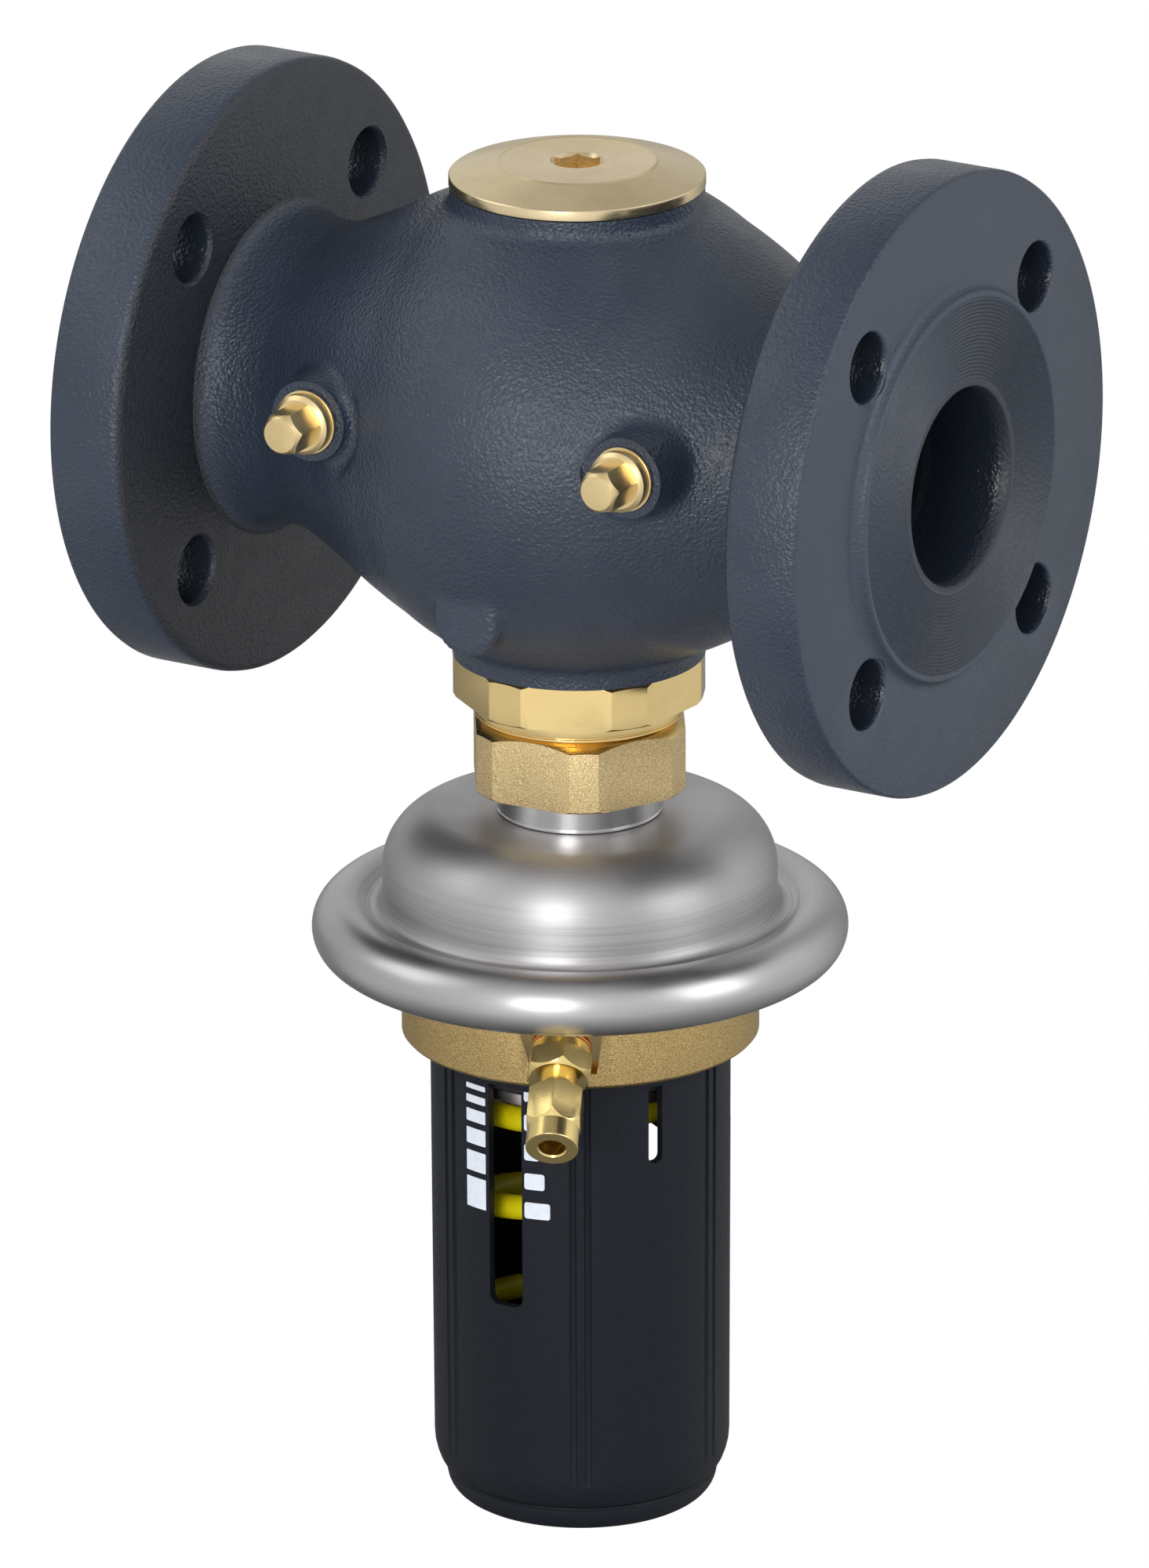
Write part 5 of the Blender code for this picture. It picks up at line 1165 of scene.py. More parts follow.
@dataclass
class UnionJoint:
    """The bonnet, the union nut on it and the bright neck of the actuator."""

    bonnet_top: float = -64.4
    hex_foot: float = -76.1
    ring_foot: float = -80.6
    bonnet_foot: float = -92.0
    nut_top: float = -80.9
    nut_foot: float = -99.8
    collar_foot: float = -107.9

    def build(self) -> None:
        """Make the three pieces and fix them to the casing."""
        self.bonnet()
        self.union_nut()
        self.neck()

    def bonnet(self) -> None:
        """Make the bonnet, a hexagon with its corners cut flat, and the bright ring below it."""
        top, foot = self.bonnet_top, self.bonnet_foot
        core = lathe("bonnet_piece", [
            (5.3, -50.4), (24.0, -50.4), (24.0, top - 0.4), (27.8, top - 0.4), (27.8, -79.3), (27.3, -79.5),
            (27.3, -79.8), (27.7, -80.0), (27.7, self.ring_foot), (24.7, self.ring_foot), (24.7, foot),
            (5.3, foot), (5.3, -50.4)], LARGE_FACETS, 0.2)
        head = lathe("head", [(0.0, top), (32.5, top), (33.3, top - 0.8), (33.3, self.hex_foot + 0.8),
                              (32.6, self.hex_foot), (0.0, self.hex_foot)], LARGE_FACETS, 0.0)
        shape(head, prism("flats", 6, 62.0, -90.0, -60.0, 24.0), Join.COMMON)
        shape(head, prism("corners", 6, 65.7, -90.0, -60.0, 54.0), Join.COMMON)
        shape(head, stem_rod("bore", 6.0, -90.0, -60.0), Join.CUT)
        break_edges(head, 0.15, angle=20.0)
        shape(core, head, Join.ADD)
        brass = TurnedMetal("bonnet_brass", (0.87, 0.66, 0.30), 0.15, Matrix(), 0.6, 0.004, stain_share=0.1)
        finish_piece(core, brass.make(), Group.CASING, Slot.BRASS, "bonnet", angle=18.0)

    def union_nut(self) -> None:
        """Make the union nut, blasted on its flats and turned on its upper chamfer."""
        top, foot = self.nut_top, self.nut_foot
        nut = lathe("union_nut_piece", [
            (25.0, top), (26.4, top), (29.85, top - 2.4), (29.85, foot + 0.7), (29.2, foot), (22.3, foot),
            (22.3, foot + 3.5), (25.0, foot + 3.5), (25.0, top)], LARGE_FACETS, 0.0)
        shape(nut, prism("flats", 6, 55.0, -110.0, -70.0, 2.7), Join.COMMON)
        shape(nut, prism("corners", 6, 59.1, -110.0, -70.0, 32.7), Join.COMMON)
        dress(nut, BlastedBrass("union_brass", (0.58, 0.42, 0.19), (0.92, 0.74, 0.42)).make(),
              TurnedMetal("chamfer_brass", (0.83, 0.62, 0.28), 0.22, Matrix(), 0.5, 0.01).make())
        for face in nut.data.polygons:
            upward = face.normal.z > 0.3
            inner = math.hypot(face.center.x, face.center.y) < 26.0 * MM
            face.material_index = 1 if upward or inner else 0
        break_edges(nut, 0.3, 3, angle=20.0)
        finish_piece(nut, nut.data.materials[0], Group.CASING, Slot.ROUGH_BRASS, "union_nut", angle=18.0)

    def neck(self) -> None:
        """Make the bright turned neck and the nut that ties it inside the casing."""
        neck = lathe("neck_piece", [
            (6.5, -92.3), (24.7, -92.3), (24.7, -96.0), (22.0, -96.0), (22.0, -106.9), (21.4, -107.2),
            (21.4, -107.5), (21.8, -107.7), (21.8, self.collar_foot), (14.0, self.collar_foot),
            (14.0, -116.0), (6.5, -116.0), (6.5, -92.3)], LARGE_FACETS, 0.15)
        steel = TurnedMetal("collar_steel", (0.95, 0.95, 0.96), 0.18, Matrix(), 0.5, 0.004, (0.5, 0.5, 0.5),
                            0.2)
        finish_piece(neck, steel.make(), Group.CASING, Slot.STEEL, "actuator_neck")


@dataclass
class DiaphragmCasing:
    """The pressed upper and lower casings with their rolled bead."""

    top: float = -108.2
    dome: float = 52.3
    shoulder: float = 16.0
    bead_radius: float = 62.6
    bead_level: float = -140.6
    bead: float = 8.4
    sheet: float = 2.2
    seam: float = -46.0

    def build(self) -> None:
        """Make both casings and fix them to the casing group."""
        surface = PressedSheet().make()
        for piece, node in ((self.upper(), "upper_casing"), (self.lower(), "lower_casing")):
            finish_piece(piece, surface, Group.CASING, Slot.SHEET, node, angle=40.0)

    def upper(self) -> bpy.types.Object:
        """Press the dome, the crease and the bead from one sheet.

        Returns:
            The upper casing.
        """
        foot = self.bead_level + 9.4
        outline = [(14.3, self.top), (20.0, self.top), (28.0, self.top - 0.02)]
        outline += arc(self.dome - self.shoulder, self.top - self.shoulder, self.shoulder, 90.0, 0.0, 20)
        crease = ((0.0, 1.5), (0.1, 0.0), (0.5, -1.7), (1.2, -2.9), (2.3, -3.5), (3.4, -3.4))
        outline += [(self.dome + out, foot + up) for out, up in crease]
        outline += arc(self.bead_radius, self.bead_level, self.bead, 130.0, self.seam, 26)
        item = spin_line("upper_sheet", outline, BROAD_FACETS)
        modify(item, "SOLIDIFY", thickness=self.sheet * MM, offset=-1.0)
        return item

    def lower(self) -> bpy.types.Object:
        """Make the pan that closes the casing from below.

        Returns:
            The lower casing.
        """
        floor = self.bead_level - self.bead + self.sheet
        inside = self.dome + 1.5 * self.sheet
        seam = math.radians(self.seam - 5.0)
        clear = self.bead - self.sheet - 0.6
        profile = [(32.8, floor), (inside, floor), (inside, -141.65), (66.8, -141.65),
                   (self.bead_radius + clear * math.cos(seam), self.bead_level + clear * math.sin(seam))]
        profile += arc(self.bead_radius, self.bead_level, self.bead - 0.05, self.seam - 3.0, -90.0, 10)
        profile += [(32.8, self.bead_level - self.bead), (32.8, floor)]
        return lathe("lower_pan", profile, BROAD_FACETS, 0.0)


@dataclass
class FittingPlace:
    """The sloping seat of the impulse fitting."""

    azimuth: float = 24.75
    tilt: float = 34.0
    radius: float = 50.2
    level: float = -156.9

    def direction(self) -> Vector:
        """Find the direction in which the fitting points.

        Returns:
            The direction, outwards and down.
        """
        tilt = math.radians(self.tilt)
        level = polar(math.cos(tilt), self.azimuth)
        return Vector((level.x, level.y, -math.sin(tilt)))

    def seat(self) -> Vector:
        """Return the centre of the seat in millimetres."""
        return polar(self.radius, self.azimuth, self.level)

    def frame(self) -> Matrix:
        """Find the fitting's frame.

        Returns:
            The frame, Z along its direction and X level.
        """
        direction = self.direction()
        across = Vector((-direction.y, direction.x, 0.0)).normalized()
        return at(*self.seat()) @ along(across, direction.cross(across), direction)


@dataclass
class ActuatorBase:
    """The rough brass base below the casing, with the boss for the impulse fitting."""

    place: FittingPlace
    top: float = -149.3
    foot: float = -170.1
    radius: float = 47.4
    boss_width: float = 22.5
    boss_foot_width: float = 17.6
    boss_depth: float = 16.5

    def build(self) -> None:
        """Make the base and fix it to the casing."""
        top, foot, radius = self.top, self.foot, self.radius
        base = lathe("brass_base", [
            (5.3, -158.1), (28.5, -158.1), (28.5, -147.1), (32.5, -147.1), (32.5, top), (46.9, top),
            (radius, top - 0.5), (radius, foot + 0.9), (radius - 0.8, foot), (5.3, foot), (5.3, -158.1)],
            BROAD_FACETS, 0.2)
        slope = math.tan(math.radians(self.place.tilt))
        level = self.place.level
        low = top - self.boss_depth
        reach = self.place.radius
        boss = self.wedge("boss", [(31.5, top), (reach + (top - level) * slope, top),
                                   (reach + (low - level) * slope, low), (31.5, low)])
        shape(base, boss, Join.ADD)
        over = top + self.boss_depth
        outer = reach + self.boss_depth
        seat = self.wedge("seat", [(reach + (over - level) * slope, over),
                                   (outer + reach + (over - level) * slope, over), (outer, low),
                                   (reach + (low - level) * slope, low)])
        shape(base, seat, Join.CUT)
        centre = self.place.seat()
        outward = self.place.direction()
        shape(base, rod("thread", 4.3, centre - outward * 5.3, centre + outward * 5.0), Join.CUT)
        dress(base, BlastedBrass("base_brass", (0.40, 0.27, 0.10), (0.72, 0.54, 0.25)).make(),
              TurnedMetal("seat_brass", BRASS, 0.22, self.place.frame(), 0.5, 0.008).make())
        for face in base.data.polygons:
            face.material_index = 1 if face.normal.dot(outward) > 0.99 else 0
        break_edges(base, 0.3, 2)
        finish_piece(base, base.data.materials[0], Group.CASING, Slot.ROUGH_BRASS, "actuator_base")

    def wedge(self, name: str, outline: Profile) -> bpy.types.Object:
        """Extrude an outline sideways, narrower towards the boss's foot.

        Args:
            name: Name of the new object.
            outline: Points of (radius, level) in millimetres.

        Returns:
            The solid.
        """
        item = sheet_of(name, outline, self.boss_width, Matrix())
        taper = (1 - self.boss_foot_width / self.boss_width) / self.boss_depth
        for vertex in item.data.vertices:
            vertex.co.z *= 1 - taper * (self.top - vertex.co.y / MM)
        outward = polar(1.0, self.place.azimuth)
        upward = Vector((0.0, 0.0, 1.0))
        return settle(item, along(outward, upward, outward.cross(upward)))


@dataclass
class ImpulseFitting:
    """The gasket, nipple, ferrule and nut that take the impulse tube."""

    place: FittingPlace
    nipple_across: float = 16.0
    nipple_turn: float = 20.0
    nut_across: float = 14.0
    nut_turn: float = 30.0
    hole: float = 3.5

    def build(self) -> None:
        """Make the four pieces and fix them to the casing."""
        frame = self.place.frame()
        ring = [(4.3, 0.3), (8.0, 0.3), (8.0, 1.3), (4.3, 1.3), (4.3, 0.3)]
        gasket = lathe("gasket_piece", ring, SMALL_FACETS, 0.3, frame)
        copper = TurnedMetal("gasket_copper", (0.78, 0.36, 0.17), 0.3, frame, 0.4, 0.01)
        finish_piece(gasket, copper.make(), Group.CASING, Slot.COPPER, "impulse_gasket")
        brass = TurnedMetal("fitting_brass", (0.90, 0.70, 0.29), 0.2, frame, 0.5, 0.008,
                            stain_share=0.12).make()
        self.nipple(frame, brass)
        self.nut(frame, brass)
        cone = [(3.1, 22.9), (4.0, 22.9), (4.7, 24.0), (4.7, 26.4), (3.1, 26.4), (3.1, 22.9)]
        ferrule = lathe("ferrule_piece", cone, PIN_FACETS, 0.15, frame)
        finish_piece(ferrule, brass, Group.CASING, Slot.BRASS, "impulse_ferrule")

    def nipple(self, frame: Matrix, brass: bpy.types.Material) -> None:
        """Make the nipple with its hexagon.

        Args:
            frame: The fitting's frame.
            brass: The material.
        """
        item = lathe("nipple_piece", [(2.5, 22.6), (4.75, 22.6), (4.75, 9.0), (7.9, 9.0), (7.9, 1.5),
                                      (4.0, 1.5), (4.0, -5.0), (2.5, -5.0), (2.5, 22.6)], SMALL_FACETS, 0.2)
        corner = self.nipple_across / 2 / math.cos(math.pi / 6)
        head = lathe("head", [(0.0, 4.2), (8.0, 4.2), (corner, 4.9), (corner, 9.4), (7.6, 11.0),
                              (0.0, 11.0)], FACETS, 0.0)
        shape(head, prism("flats", 6, self.nipple_across, 0.0, 12.0, self.nipple_turn), Join.COMMON)
        shape(head, stem_rod("bore", 3.5, -2.0, 20.0), Join.CUT)
        break_edges(head, 0.1)
        shape(item, head, Join.ADD, Solver.MANIFOLD)
        settle(item, frame)
        finish_piece(item, brass, Group.CASING, Slot.BRASS, "impulse_nipple", angle=14.0)

    def nut(self, frame: Matrix, brass: bpy.types.Material) -> None:
        """Make the nut with its round end and the chamfer that runs into it.

        Args:
            frame: The fitting's frame.
            brass: The material.
        """
        corner = self.nut_across / 2 / math.cos(math.pi / 6)
        head = lathe("head", [(0.0, 15.6), (7.3, 15.6), (corner, 16.2), (corner, 24.9), (6.95, 27.2),
                              (0.0, 27.2)], FACETS, 0.0)
        shape(head, prism("flats", 6, self.nut_across, 10.0, 30.0, self.nut_turn), Join.COMMON)
        item = lathe("nut_piece", [(0.0, 20.0), (6.95, 20.0), (6.95, 33.0), (0.0, 33.0)], FACETS, 0.25)
        shape(item, head, Join.ADD)
        break_edges(item, 0.08)
        hole = self.hole
        bore = lathe("bore", [(0.0, 34.8), (hole + 0.5, 34.8), (hole + 0.35, 33.0), (hole, 32.6),
                              (hole, 26.7), (5.05, 26.7), (5.05, 12.0), (0.0, 12.0)], SMALL_FACETS, 0.0)
        shape(item, bore, Join.CUT)
        settle(item, frame)
        finish_piece(item, brass, Group.CASING, Slot.BRASS, "impulse_nut", angle=10.0)


@dataclass
class SettingHandle:
    """The ribbed plastic handle with its windows, slots, keys and white scale."""

    top: float = -170.4
    foot: float = -301.0
    radius: float = 39.9
    foot_radius: float = 39.4
    wall: float = 2.6
    lip: float = 33.5
    lip_foot: float = -173.7
    shoulder: float = -283.5
    notch: float = -293.0
    notch_radius: float = 36.4
    window: float = 10.0
    window_foot: float = -236.0
    slot: float = 4.1
    slot_foot: float = -195.6

    def build(self) -> None:
        """Make the handle and its scale and fix them to the handle group."""
        handle = lathe("handle_shell", self.section(), RIM_FACETS, 0.2)
        self.add_keys(handle)
        self.cut_ribs(handle)
        for azimuth in (0.0, 180.0):
            shape(handle, self.opening(azimuth, self.window, self.window_foot, 2.6), Join.CUT)
        for azimuth in (60.0, 120.0, 240.0, 300.0):
            shape(handle, self.opening(azimuth, self.slot, self.slot_foot, 1.9), Join.CUT)
        plastic = MouldedPlastic("handle_plastic", (0.0075, 0.0095, 0.0145), 0.45, 0.17)
        finish_piece(handle, plastic.make(), Group.HANDLE, Slot.PLASTIC, "setting_handle")
        self.scale()

    def section(self) -> Profile:
        """Find the handle's section, inside and outside.

        Returns:
            The points from the floor's middle round to the foot's middle.
        """
        inside = [(0.0, -297.5), (33.3, -297.5), (33.3, -291.0), (self.foot_radius - self.wall, -282.5),
                  (self.radius - self.wall, self.lip_foot), (self.lip, self.lip_foot), (self.lip, self.top)]
        outside = [(self.radius - 1.0, self.top), (self.radius, self.top - 1.0),
                   (self.foot_radius, self.shoulder)]
        outside += [(39.2, -286.0), (38.7, -288.2), (37.9, -290.4), (37.0, -292.0), (36.1, self.notch - 0.1),
                    (35.5, self.notch - 0.4), (36.0, self.notch - 1.0)]
        outside += arc(29.1, -294.0, 7.0, 0.0, -90.0, 10)
        return inside + outside + [(0.0, self.foot)]

    def add_keys(self, handle: bpy.types.Object) -> None:
        """Add the pairs of ribs inside the wall that keep the setting plate from turning.

        Args:
            handle: The handle.
        """
        length = 51.0
        for azimuth in KEY_AZIMUTHS:
            for offset in (-5.3, 5.3):
                place = round_stem(azimuth) @ at(offset, -36.6, -176.7 - length / 2)
                shape(handle, block("key_rib", (2.0, 3.6, length), place), Join.ADD)

    def cut_ribs(self, handle: bpy.types.Object) -> None:
        """Cut the pairs of grooves that leave six ribs standing outside.

        Args:
            handle: The handle.
        """
        top = self.top - 1.8
        foot = self.shoulder - 2.5
        for index in range(6):
            for offset in (-1.95, 1.95):
                place = round_stem(30.0 + 60.0 * index) @ at(offset, -self.radius, (top + foot) / 2)
                groove = block("groove", (1.8, 2.0, top - foot), place)
                break_edges(groove, 0.6, 3)
                shape(handle, groove, Join.CUT)

    def opening(self, azimuth: float, width: float, foot: float, corner: float) -> bpy.types.Object:
        """Make the tool for a window or slot, open upwards and with rounded lower corners.

        Args:
            azimuth: Azimuth of its middle in degrees.
            width: Its width in millimetres.
            foot: Height of its lower end.
            corner: Radius of its lower corners.

        Returns:
            The tool.
        """
        half = width / 2
        top = self.lip_foot - 0.3
        outline = [(-half, top)] + arc(-half + corner, foot + corner, corner, 180.0, 270.0, 8)
        outline += arc(half - corner, foot + corner, corner, 270.0, 360.0, 8) + [(half, top)]
        axes = along(polar(1.0, azimuth + 90.0), Vector((0.0, 0.0, 1.0)), polar(1.0, azimuth))
        return sheet_of("opening", outline, 11.0, at(*polar(37.5, azimuth)) @ axes)

    def scale(self) -> None:
        """Print the white blocks of the scale beside the front window."""
        white = PlainCoat("scale_print", (0.78, 0.83, 0.92), 0.5).make()
        left = ((-176.95, -175.5), (-180.86, -178.72), (-186.2, -182.7), (-192.48, -188.0), (-200.1, -194.45),
                (-210.33, -201.8))
        right = ((10.2, -177.2), (12.2, -185.4), (14.3, -193.7), (16.35, -201.9), (18.45, -210.1))
        marks = [(-18.75, -8.85, low, high, 0.25) for low, high in left]
        marks += [(8.3, end, low, low + 4.55, 0.7) for end, low in right]
        for side, name in ((0.0, "scale_front"), (180.0, "scale_back")):
            ring = []
            for level, proud in ((-174.5, -0.1), (-174.5, 0.06), (-212.0, 0.06), (-212.0, -0.1),
                                 (-174.5, -0.1)):
                share = (self.top - level) / (self.top - self.shoulder)
                ring.append((self.radius + (self.foot_radius - self.radius) * share + proud, level))
            skin = lathe(name, ring, 288, 0.0)
            blocks = [self.mark(start + side, end + side, low, high, corner)
                      for start, end, low, high, corner in marks]
            choose(*blocks)
            bpy.ops.object.join()
            shape(skin, blocks[0], Join.COMMON, Solver.MANIFOLD)
            finish_piece(skin, white, Group.HANDLE, Slot.WHITE)

    def mark(self, start: float, end: float, low: float, high: float, corner: float) -> bpy.types.Object:
        """Make the tool for one block of the scale, to be cut from a thin skin.

        Args:
            start: Azimuth of its left side in degrees.
            end: Azimuth of its right side.
            low: Height of its foot in millimetres.
            high: Height of its top.
            corner: Radius of its corners.

        Returns:
            The tool.
        """
        reach = math.sin(math.radians(end - start) / 2) * self.radius
        half = (high - low) / 2
        corner = min(corner, 0.45 * half)
        outline: Profile = []
        for east, north, first in ((1, 1, 0.0), (-1, 1, 90.0), (-1, -1, 180.0), (1, -1, 270.0)):
            outline += arc(east * (reach - corner), north * (half - corner), corner, first, first + 90.0, 4)
        middle = (start + end) / 2
        axes = along(polar(1.0, middle + 90.0), Vector((0.0, 0.0, 1.0)), polar(1.0, middle))
        return sheet_of("mark", outline, 6.0, at(*polar(self.radius, middle, (high + low) / 2)) @ axes)


@dataclass
class SettingGear:
    """The threaded tube, setting plate and yellow spring inside the handle."""

    plate_foot: float = -182.2
    foot_top: float = -273.9
    spring: float = 29.95
    wire: float = 3.35
    first_pass: float = 0.7
    steps_per_turn: int = 40

    def build(self) -> None:
        """Make the pieces and fix each to its group."""
        self.tube()
        self.plate()
        self.wind_spring()

    def tube(self) -> None:
        """Make the fixed tube with its thread."""
        profile = [(6.8, -170.4), (33.2, -170.4), (33.2, -174.0), (36.7, -174.0), (36.7, -176.4),
                   (14.0, -176.4), (14.0, -178.0)]
        level = -178.4
        while level > -221.5:
            profile += [(14.0, level), (13.9, level - 0.5), (12.4, level - 1.2), (12.4, level - 1.8),
                        (13.9, level - 2.5)]
            level -= 3.0
        profile += [(14.0, level), (13.2, -224.85), (6.8, -224.85), (6.8, -170.4)]
        tube = lathe("carrier_tube", profile, FACETS, 0.0)
        plastic = MouldedPlastic("carrier_plastic", (0.017, 0.018, 0.020), 0.5)
        finish_piece(tube, plastic.make(), Group.CASING, Slot.PLASTIC, "threaded_tube")

    def plate(self) -> None:
        """Make the setting plate with its hub and three key lugs."""
        plate = lathe("plate_piece", [(14.3, -179.0), (31.5, -179.0), (31.5, self.plate_foot),
                                      (19.5, self.plate_foot), (19.5, -190.0), (14.3, -190.0),
                                      (14.3, -179.0)], LARGE_FACETS, 0.3)
        for azimuth in KEY_AZIMUTHS:
            lug = block("lug", (8.0, 9.0, 2.6), round_stem(azimuth) @ at(0.0, -32.0, -180.6))
            break_edges(lug, 0.3, 2)
            shape(plate, lug, Join.ADD)
        steel = TurnedMetal("plate_steel", (0.86, 0.80, 0.78), 0.42, Matrix(), 0.5, 0.008,
                            (0.60, 0.34, 0.28), 0.5)
        finish_piece(plate, steel.make(), Group.PLATE, Slot.STEEL, "setting_plate")

    def drops(self, length: float) -> list[float]:
        """Find how far the wire has come down at each step of its turns, close wound at both ends.

        Args:
            length: Height from its first to its last point in millimetres.

        Returns:
            The drop at each step.
        """
        stops = ((0.0, 0.0), (0.7, 0.6), (1.7, 26.2), (2.7, 60.0), (3.95, length - 0.5), (4.65, length))
        levels = [stops[0][1]]
        for (start, low), (end, high) in zip(stops, stops[1:]):
            count = round((end - start) * self.steps_per_turn)
            levels += [low + (high - low) * step / count for step in range(1, count + 1)]
        for _ in range(60):
            inner = [(back + 2 * level + forth) / 4
                     for back, level, forth in zip(levels, levels[1:], levels[2:])]
            levels = [levels[0]] + inner + [levels[-1]]
        return levels

    def wind_spring(self) -> None:
        """Wind the spring between the setting plate and the foot plate."""
        radius = self.spring - self.wire
        start = self.plate_foot - 0.3 - self.wire
        length = start - (self.foot_top + 0.3 + self.wire)
        points = [polar(radius, 360.0 * (self.first_pass - step / self.steps_per_turn), start - drop) * MM
                  for step, drop in enumerate(self.drops(length))]
        spring = draw_line("yellow_spring", points)
        bpy.ops.object.mode_set(mode="OBJECT")
        choose(spring)
        bpy.ops.object.convert(target="CURVE")
        spring = bpy.context.object
        spring.data.bevel_depth = self.wire * MM
        spring.data.bevel_resolution = 6
        spring.data.use_fill_caps = True
        bpy.ops.object.convert(target="MESH")
        spring = bpy.context.object
        bpy.ops.object.mode_set(mode="EDIT")
        close_mesh(COARSE_MERGE)
        yellow = PlainCoat("spring_coat", (1.0, 0.86, 0.004), 0.4)
        finish_piece(spring, yellow.make(), Group.HANDLE, Slot.YELLOW, "setting_spring", angle=50.0)
        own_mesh(spring)


@dataclass
class InnerPieces:
    """The rolling diaphragm, and the CAD pieces inside the regulator that keep their shape."""

    rim_level: float = -140.6
    plate_level: float = -143.45
    half: float = 0.75
    fold: float = 46.65
    bend: float = 5.2
    rim_edge: float = 62.3
    stem_bore: float = 5.3

    def diaphragm(self, rubber: bpy.types.Material) -> None:
        """Mould the diaphragm, its rim at the casings' bead and its middle at the level of the diaphragm
        plates.

        Args:
            rubber: Its material.
        """
        top, foot = self.rim_level + self.half, self.rim_level - self.half
        profile = [(self.stem_bore, self.plate_level + self.half),
                   (self.fold - self.bend - self.half, self.plate_level + self.half)]
        profile += arc(self.fold, self.rim_level, self.bend + self.half, 180.0, 10.0, 16)
        profile += [(56.7, top), (57.3, top + 1.2), (self.rim_edge, top + 1.2), (self.rim_edge, foot),
                    (51.1, foot)]
        profile += arc(self.fold, self.rim_level, self.bend - self.half, 10.0, 180.0, 16)
        profile += [(self.fold - self.bend + self.half, self.plate_level - self.half),
                    (self.stem_bore, self.plate_level - self.half), profile[0]]
        piece = lathe("rolling_diaphragm", profile, LARGE_FACETS, 0.1)
        finish_piece(piece, rubber, None, Slot.RUBBER, "diaphragm")
        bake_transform(piece)

    def build(self) -> None:
        """Make the diaphragm and give each of the others its material."""
        turned = TurnedMetal("inner_steel", STEEL, 0.3, Matrix(), 0.4, 0.01, (0.4, 0.4, 0.4), 0.2).make()
        rubber = MouldedPlastic("inner_rubber", (0.022, 0.022, 0.023), 0.62).make()
        steel_nodes = ("seat_ring", "casing_nut", "upper_diaphragm_plate", "lower_diaphragm_plate",
                       "diaphragm_nut", "valve_cone", "valve_stem", "stem_pin", "draw_rod", "tube_screw_1",
                       "tube_screw_2", "tube_screw_3", "foot_plate", "lock_nut")
        rubber_nodes = ("cover_seal", "bonnet_seal", "cone_seal", "rod_seal")
        self.diaphragm(rubber)
        for names, surface in ((steel_nodes, turned), (rubber_nodes, rubber)):
            for name in names:
                dress(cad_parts[name], surface)
                LOG.info("%s: kept from the model", name)


@dataclass(frozen=True)
class Lamp:
    """One soft lamp, its angles in degrees, its distance and size in metres and its power in watts."""

    name: str
    azimuth: float
    elevation: float
    size: tuple[float, float]
    power: float
    distance: float = 1.9
    aim_height: float = -0.11

    def hang(self) -> None:
        """Hang the lamp so that it shines at the middle of the object."""
        data = bpy.data.lights.new(self.name, "AREA")
        data.shape = "RECTANGLE"
        data.size, data.size_y = self.size
        data.energy = self.power
        item = bpy.data.objects.new(self.name, data)
        bpy.context.scene.collection.objects.link(item)
        angle = math.radians(self.elevation)
        outward = polar(math.cos(angle), self.azimuth, math.sin(angle))
        item.location = Vector((0.0, 0.0, self.aim_height)) + outward * self.distance
        item.rotation_euler = outward.to_track_quat("Z", "Y").to_euler()


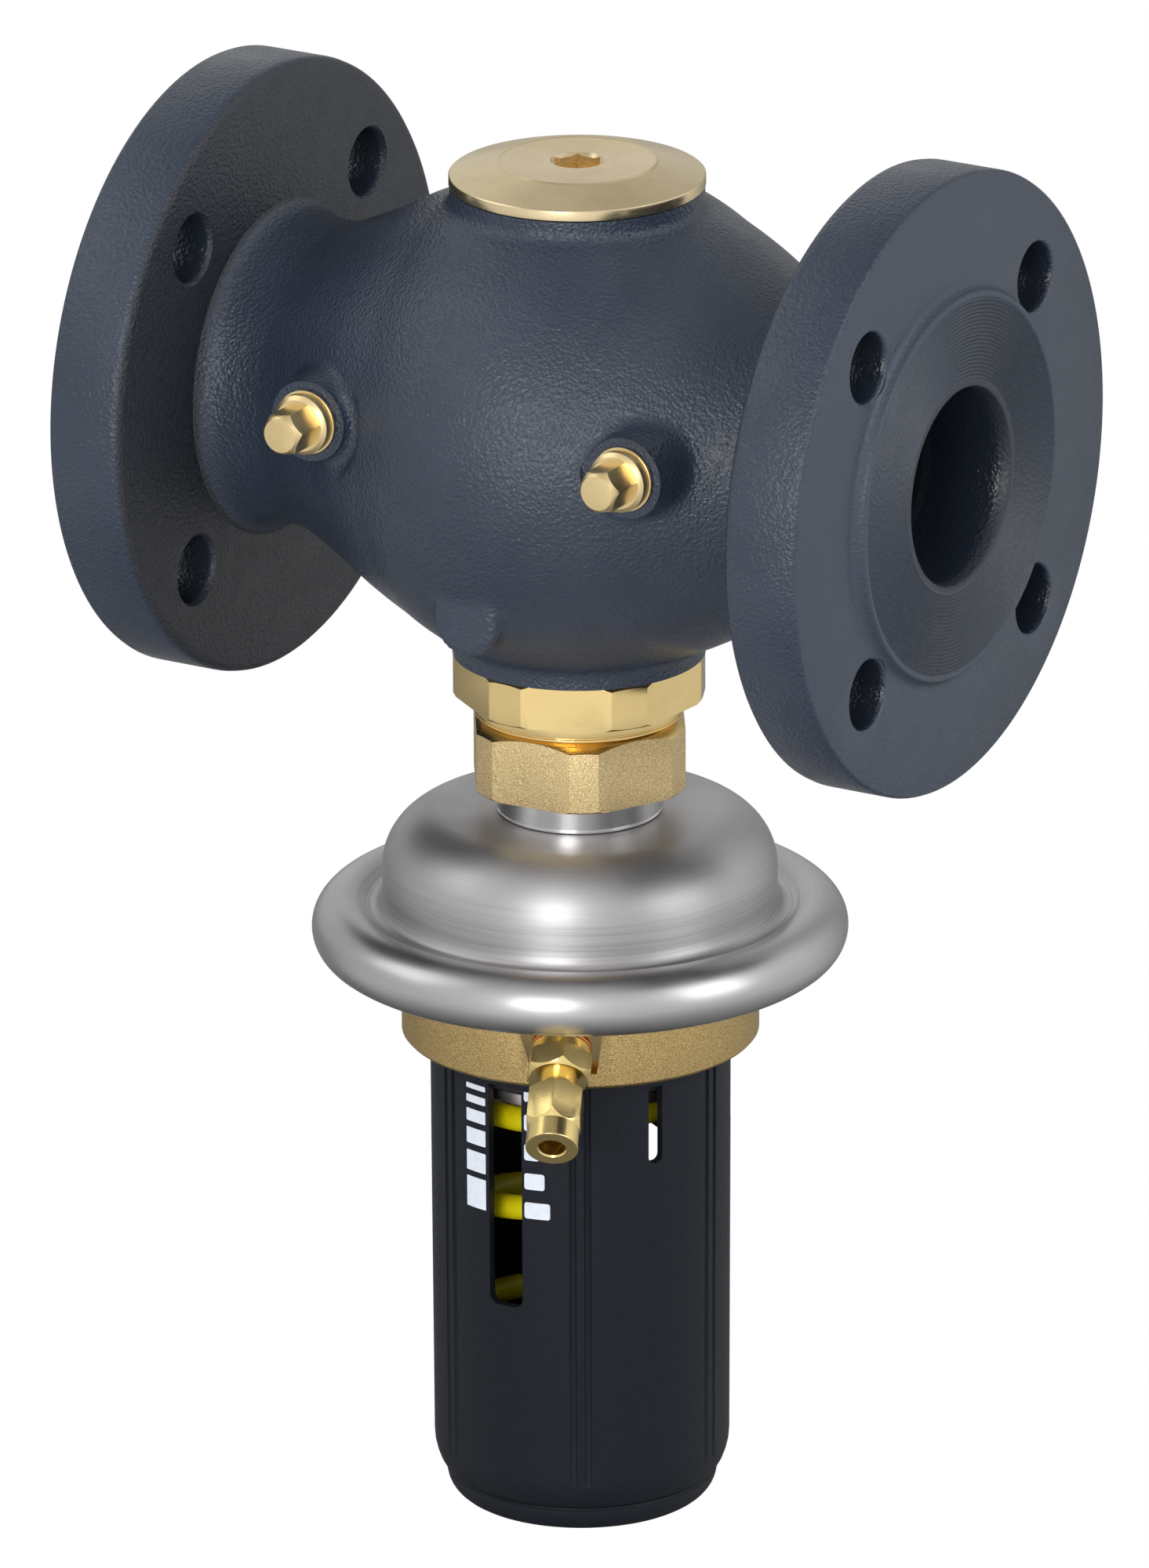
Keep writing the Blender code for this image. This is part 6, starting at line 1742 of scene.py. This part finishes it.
@dataclass
class Studio:
    """The pale floor, the soft lamps and the camera."""

    azimuth: float = 30.4
    elevation: float = 18.2
    roll: float = -0.22
    distance: float = 4300.0
    pixels_per_mm: float = 4.87
    image: tuple[int, int] = (1465, 2000)
    origin_pixel: tuple[float, float] = (737.2, 533.1)
    sensor: float = 36.0
    floor: float = -0.95
    lamps: tuple[Lamp, ...] = (Lamp("front", 15.0, 14.0, (0.6, 0.45), 10.5),
                               Lamp("left", -60.0, 40.0, (1.1, 1.1), 4.0),
                               Lamp("right", 90.0, 24.0, (0.9, 1.4), 8.0))

    def build(self) -> None:
        """Set the stage."""
        self.camera()
        self.ground()
        self.world()
        for lamp in self.lamps:
            lamp.hang()
        bpy.context.scene.view_settings.view_transform = "Standard"

    def camera(self) -> None:
        """Place the camera where the photograph was taken from."""
        elevation, roll = math.radians(self.elevation), math.radians(self.roll)
        back = polar(math.cos(elevation), self.azimuth, math.sin(elevation))
        level = polar(1.0, self.azimuth + 90.0)
        upright = back.cross(level)
        right = level * math.cos(roll) + upright * math.sin(roll)
        up = upright * math.cos(roll) - level * math.sin(roll)
        focus = self.pixels_per_mm * self.distance
        aim = (-back * focus + right * (self.image[0] / 2 - self.origin_pixel[0])
               + up * (self.origin_pixel[1] - self.image[1] / 2)).normalized()
        right = (right - aim * right.dot(aim)).normalized()
        up = right.cross(aim)
        data = bpy.data.cameras.new("view")
        data.sensor_width = self.sensor
        data.lens = focus / self.image[1] * self.sensor
        data.clip_end = 50.0
        item = bpy.data.objects.new("view", data)
        bpy.context.scene.collection.objects.link(item)
        item.matrix_world = at(*back * self.distance) @ along(right, up, -aim)
        bpy.context.scene.camera = item

    def ground(self) -> None:
        """Lay the pale floor, white to the camera; what mirrors it sees a glow with a painted pool of light
        in front and a painted shadow round the object.
        """
        bpy.ops.object.select_all(action="DESELECT")
        bpy.ops.mesh.primitive_plane_add(size=30.0, location=(0.0, 0.0, self.floor))
        floor = bpy.context.object
        floor.name = "floor"
        surface = Surface("floor_white", (0.85, 0.85, 0.85), 0.9, 0.0)
        east, north, _ = surface.split(surface.place)
        reach = surface.length(east, north)
        # The glow seen in reflections: brighter in front by bearing, a painted pool of light, and dimmed
        # towards the middle, a painted shadow of the object.
        level = surface.maths("MULTIPLY", surface.ramp(surface.bearing(east, north), TABLE),
                              surface.ranged(reach, 0.15, 1.9, 0.2, 1.0))
        mirrored = surface.tree.nodes.new("ShaderNodeEmission")
        surface.tree.links.new(level, mirrored.inputs["Strength"])
        seen = surface.tree.nodes.new("ShaderNodeEmission")
        self.sort_rays(surface.tree, surface.shader.outputs[0], seen.outputs[0], mirrored.outputs[0],
                       surface.tree.nodes["Material Output"])
        floor.data.materials.append(surface.material)

    def world(self) -> None:
        """Surround the object with white for the camera and a soft room, brighter in front, for the rest."""
        world = bpy.data.worlds.new("studio")
        bpy.context.scene.world = world
        world.use_nodes = True
        room = Nodes(world.node_tree, "Generated")
        east, north, up = room.split(room.place)
        level = room.maths("MULTIPLY", room.ramp(room.bearing(east, north), ROOM), room.ramp(up, HEIGHT))
        soft = room.tree.nodes["Background"]
        soft.inputs["Color"].default_value = (1.0, 1.0, 1.0, 1.0)
        room.tree.links.new(level, soft.inputs["Strength"])
        white = room.tree.nodes.new("ShaderNodeBackground")
        white.inputs["Color"].default_value = (1.0, 1.0, 1.0, 1.0)
        self.sort_rays(room.tree, soft.outputs[0], white.outputs[0], soft.outputs[0],
                       room.tree.nodes["World Output"])

    def sort_rays(self, tree: bpy.types.NodeTree, lit: bpy.types.NodeSocket, seen: bpy.types.NodeSocket,
                  mirrored: bpy.types.NodeSocket, output: bpy.types.Node) -> None:
        """Give the camera's rays one shader, mirrored rays another and all the others a third.

        Args:
            tree: The node tree.
            lit: Shader for rays that carry light.
            seen: Shader for the camera's rays.
            mirrored: Shader for rays off glossy surfaces.
            output: The tree's output node.
        """
        path = tree.nodes.new("ShaderNodeLightPath")
        for ray, shader in (("Is Glossy Ray", mirrored), ("Is Camera Ray", seen)):
            blend = tree.nodes.new("ShaderNodeMixShader")
            tree.links.new(path.outputs[ray], blend.inputs[0])
            tree.links.new(lit, blend.inputs[1])
            tree.links.new(shader, blend.inputs[2])
            lit = blend.outputs[0]
        tree.links.new(lit, output.inputs[0])


def main() -> None:
    """Build the regulator and its studio."""
    logging.basicConfig(level=logging.INFO, format="%(message)s")
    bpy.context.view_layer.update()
    fitting = FittingPlace()
    assemblies = [Studio(), CastBody(), ValveCover(), TestPlug(-1.0, "test_plug_inlet"),
                  TestPlug(1.0, "test_plug_outlet"), UnionJoint(), DiaphragmCasing(), ActuatorBase(fitting),
                  ImpulseFitting(fitting), SettingHandle(), SettingGear(), InnerPieces()]
    for assembly in assemblies:
        LOG.info("Building %s", type(assembly).__name__)
        assembly.build()


if __name__ == "__main__":
    main()
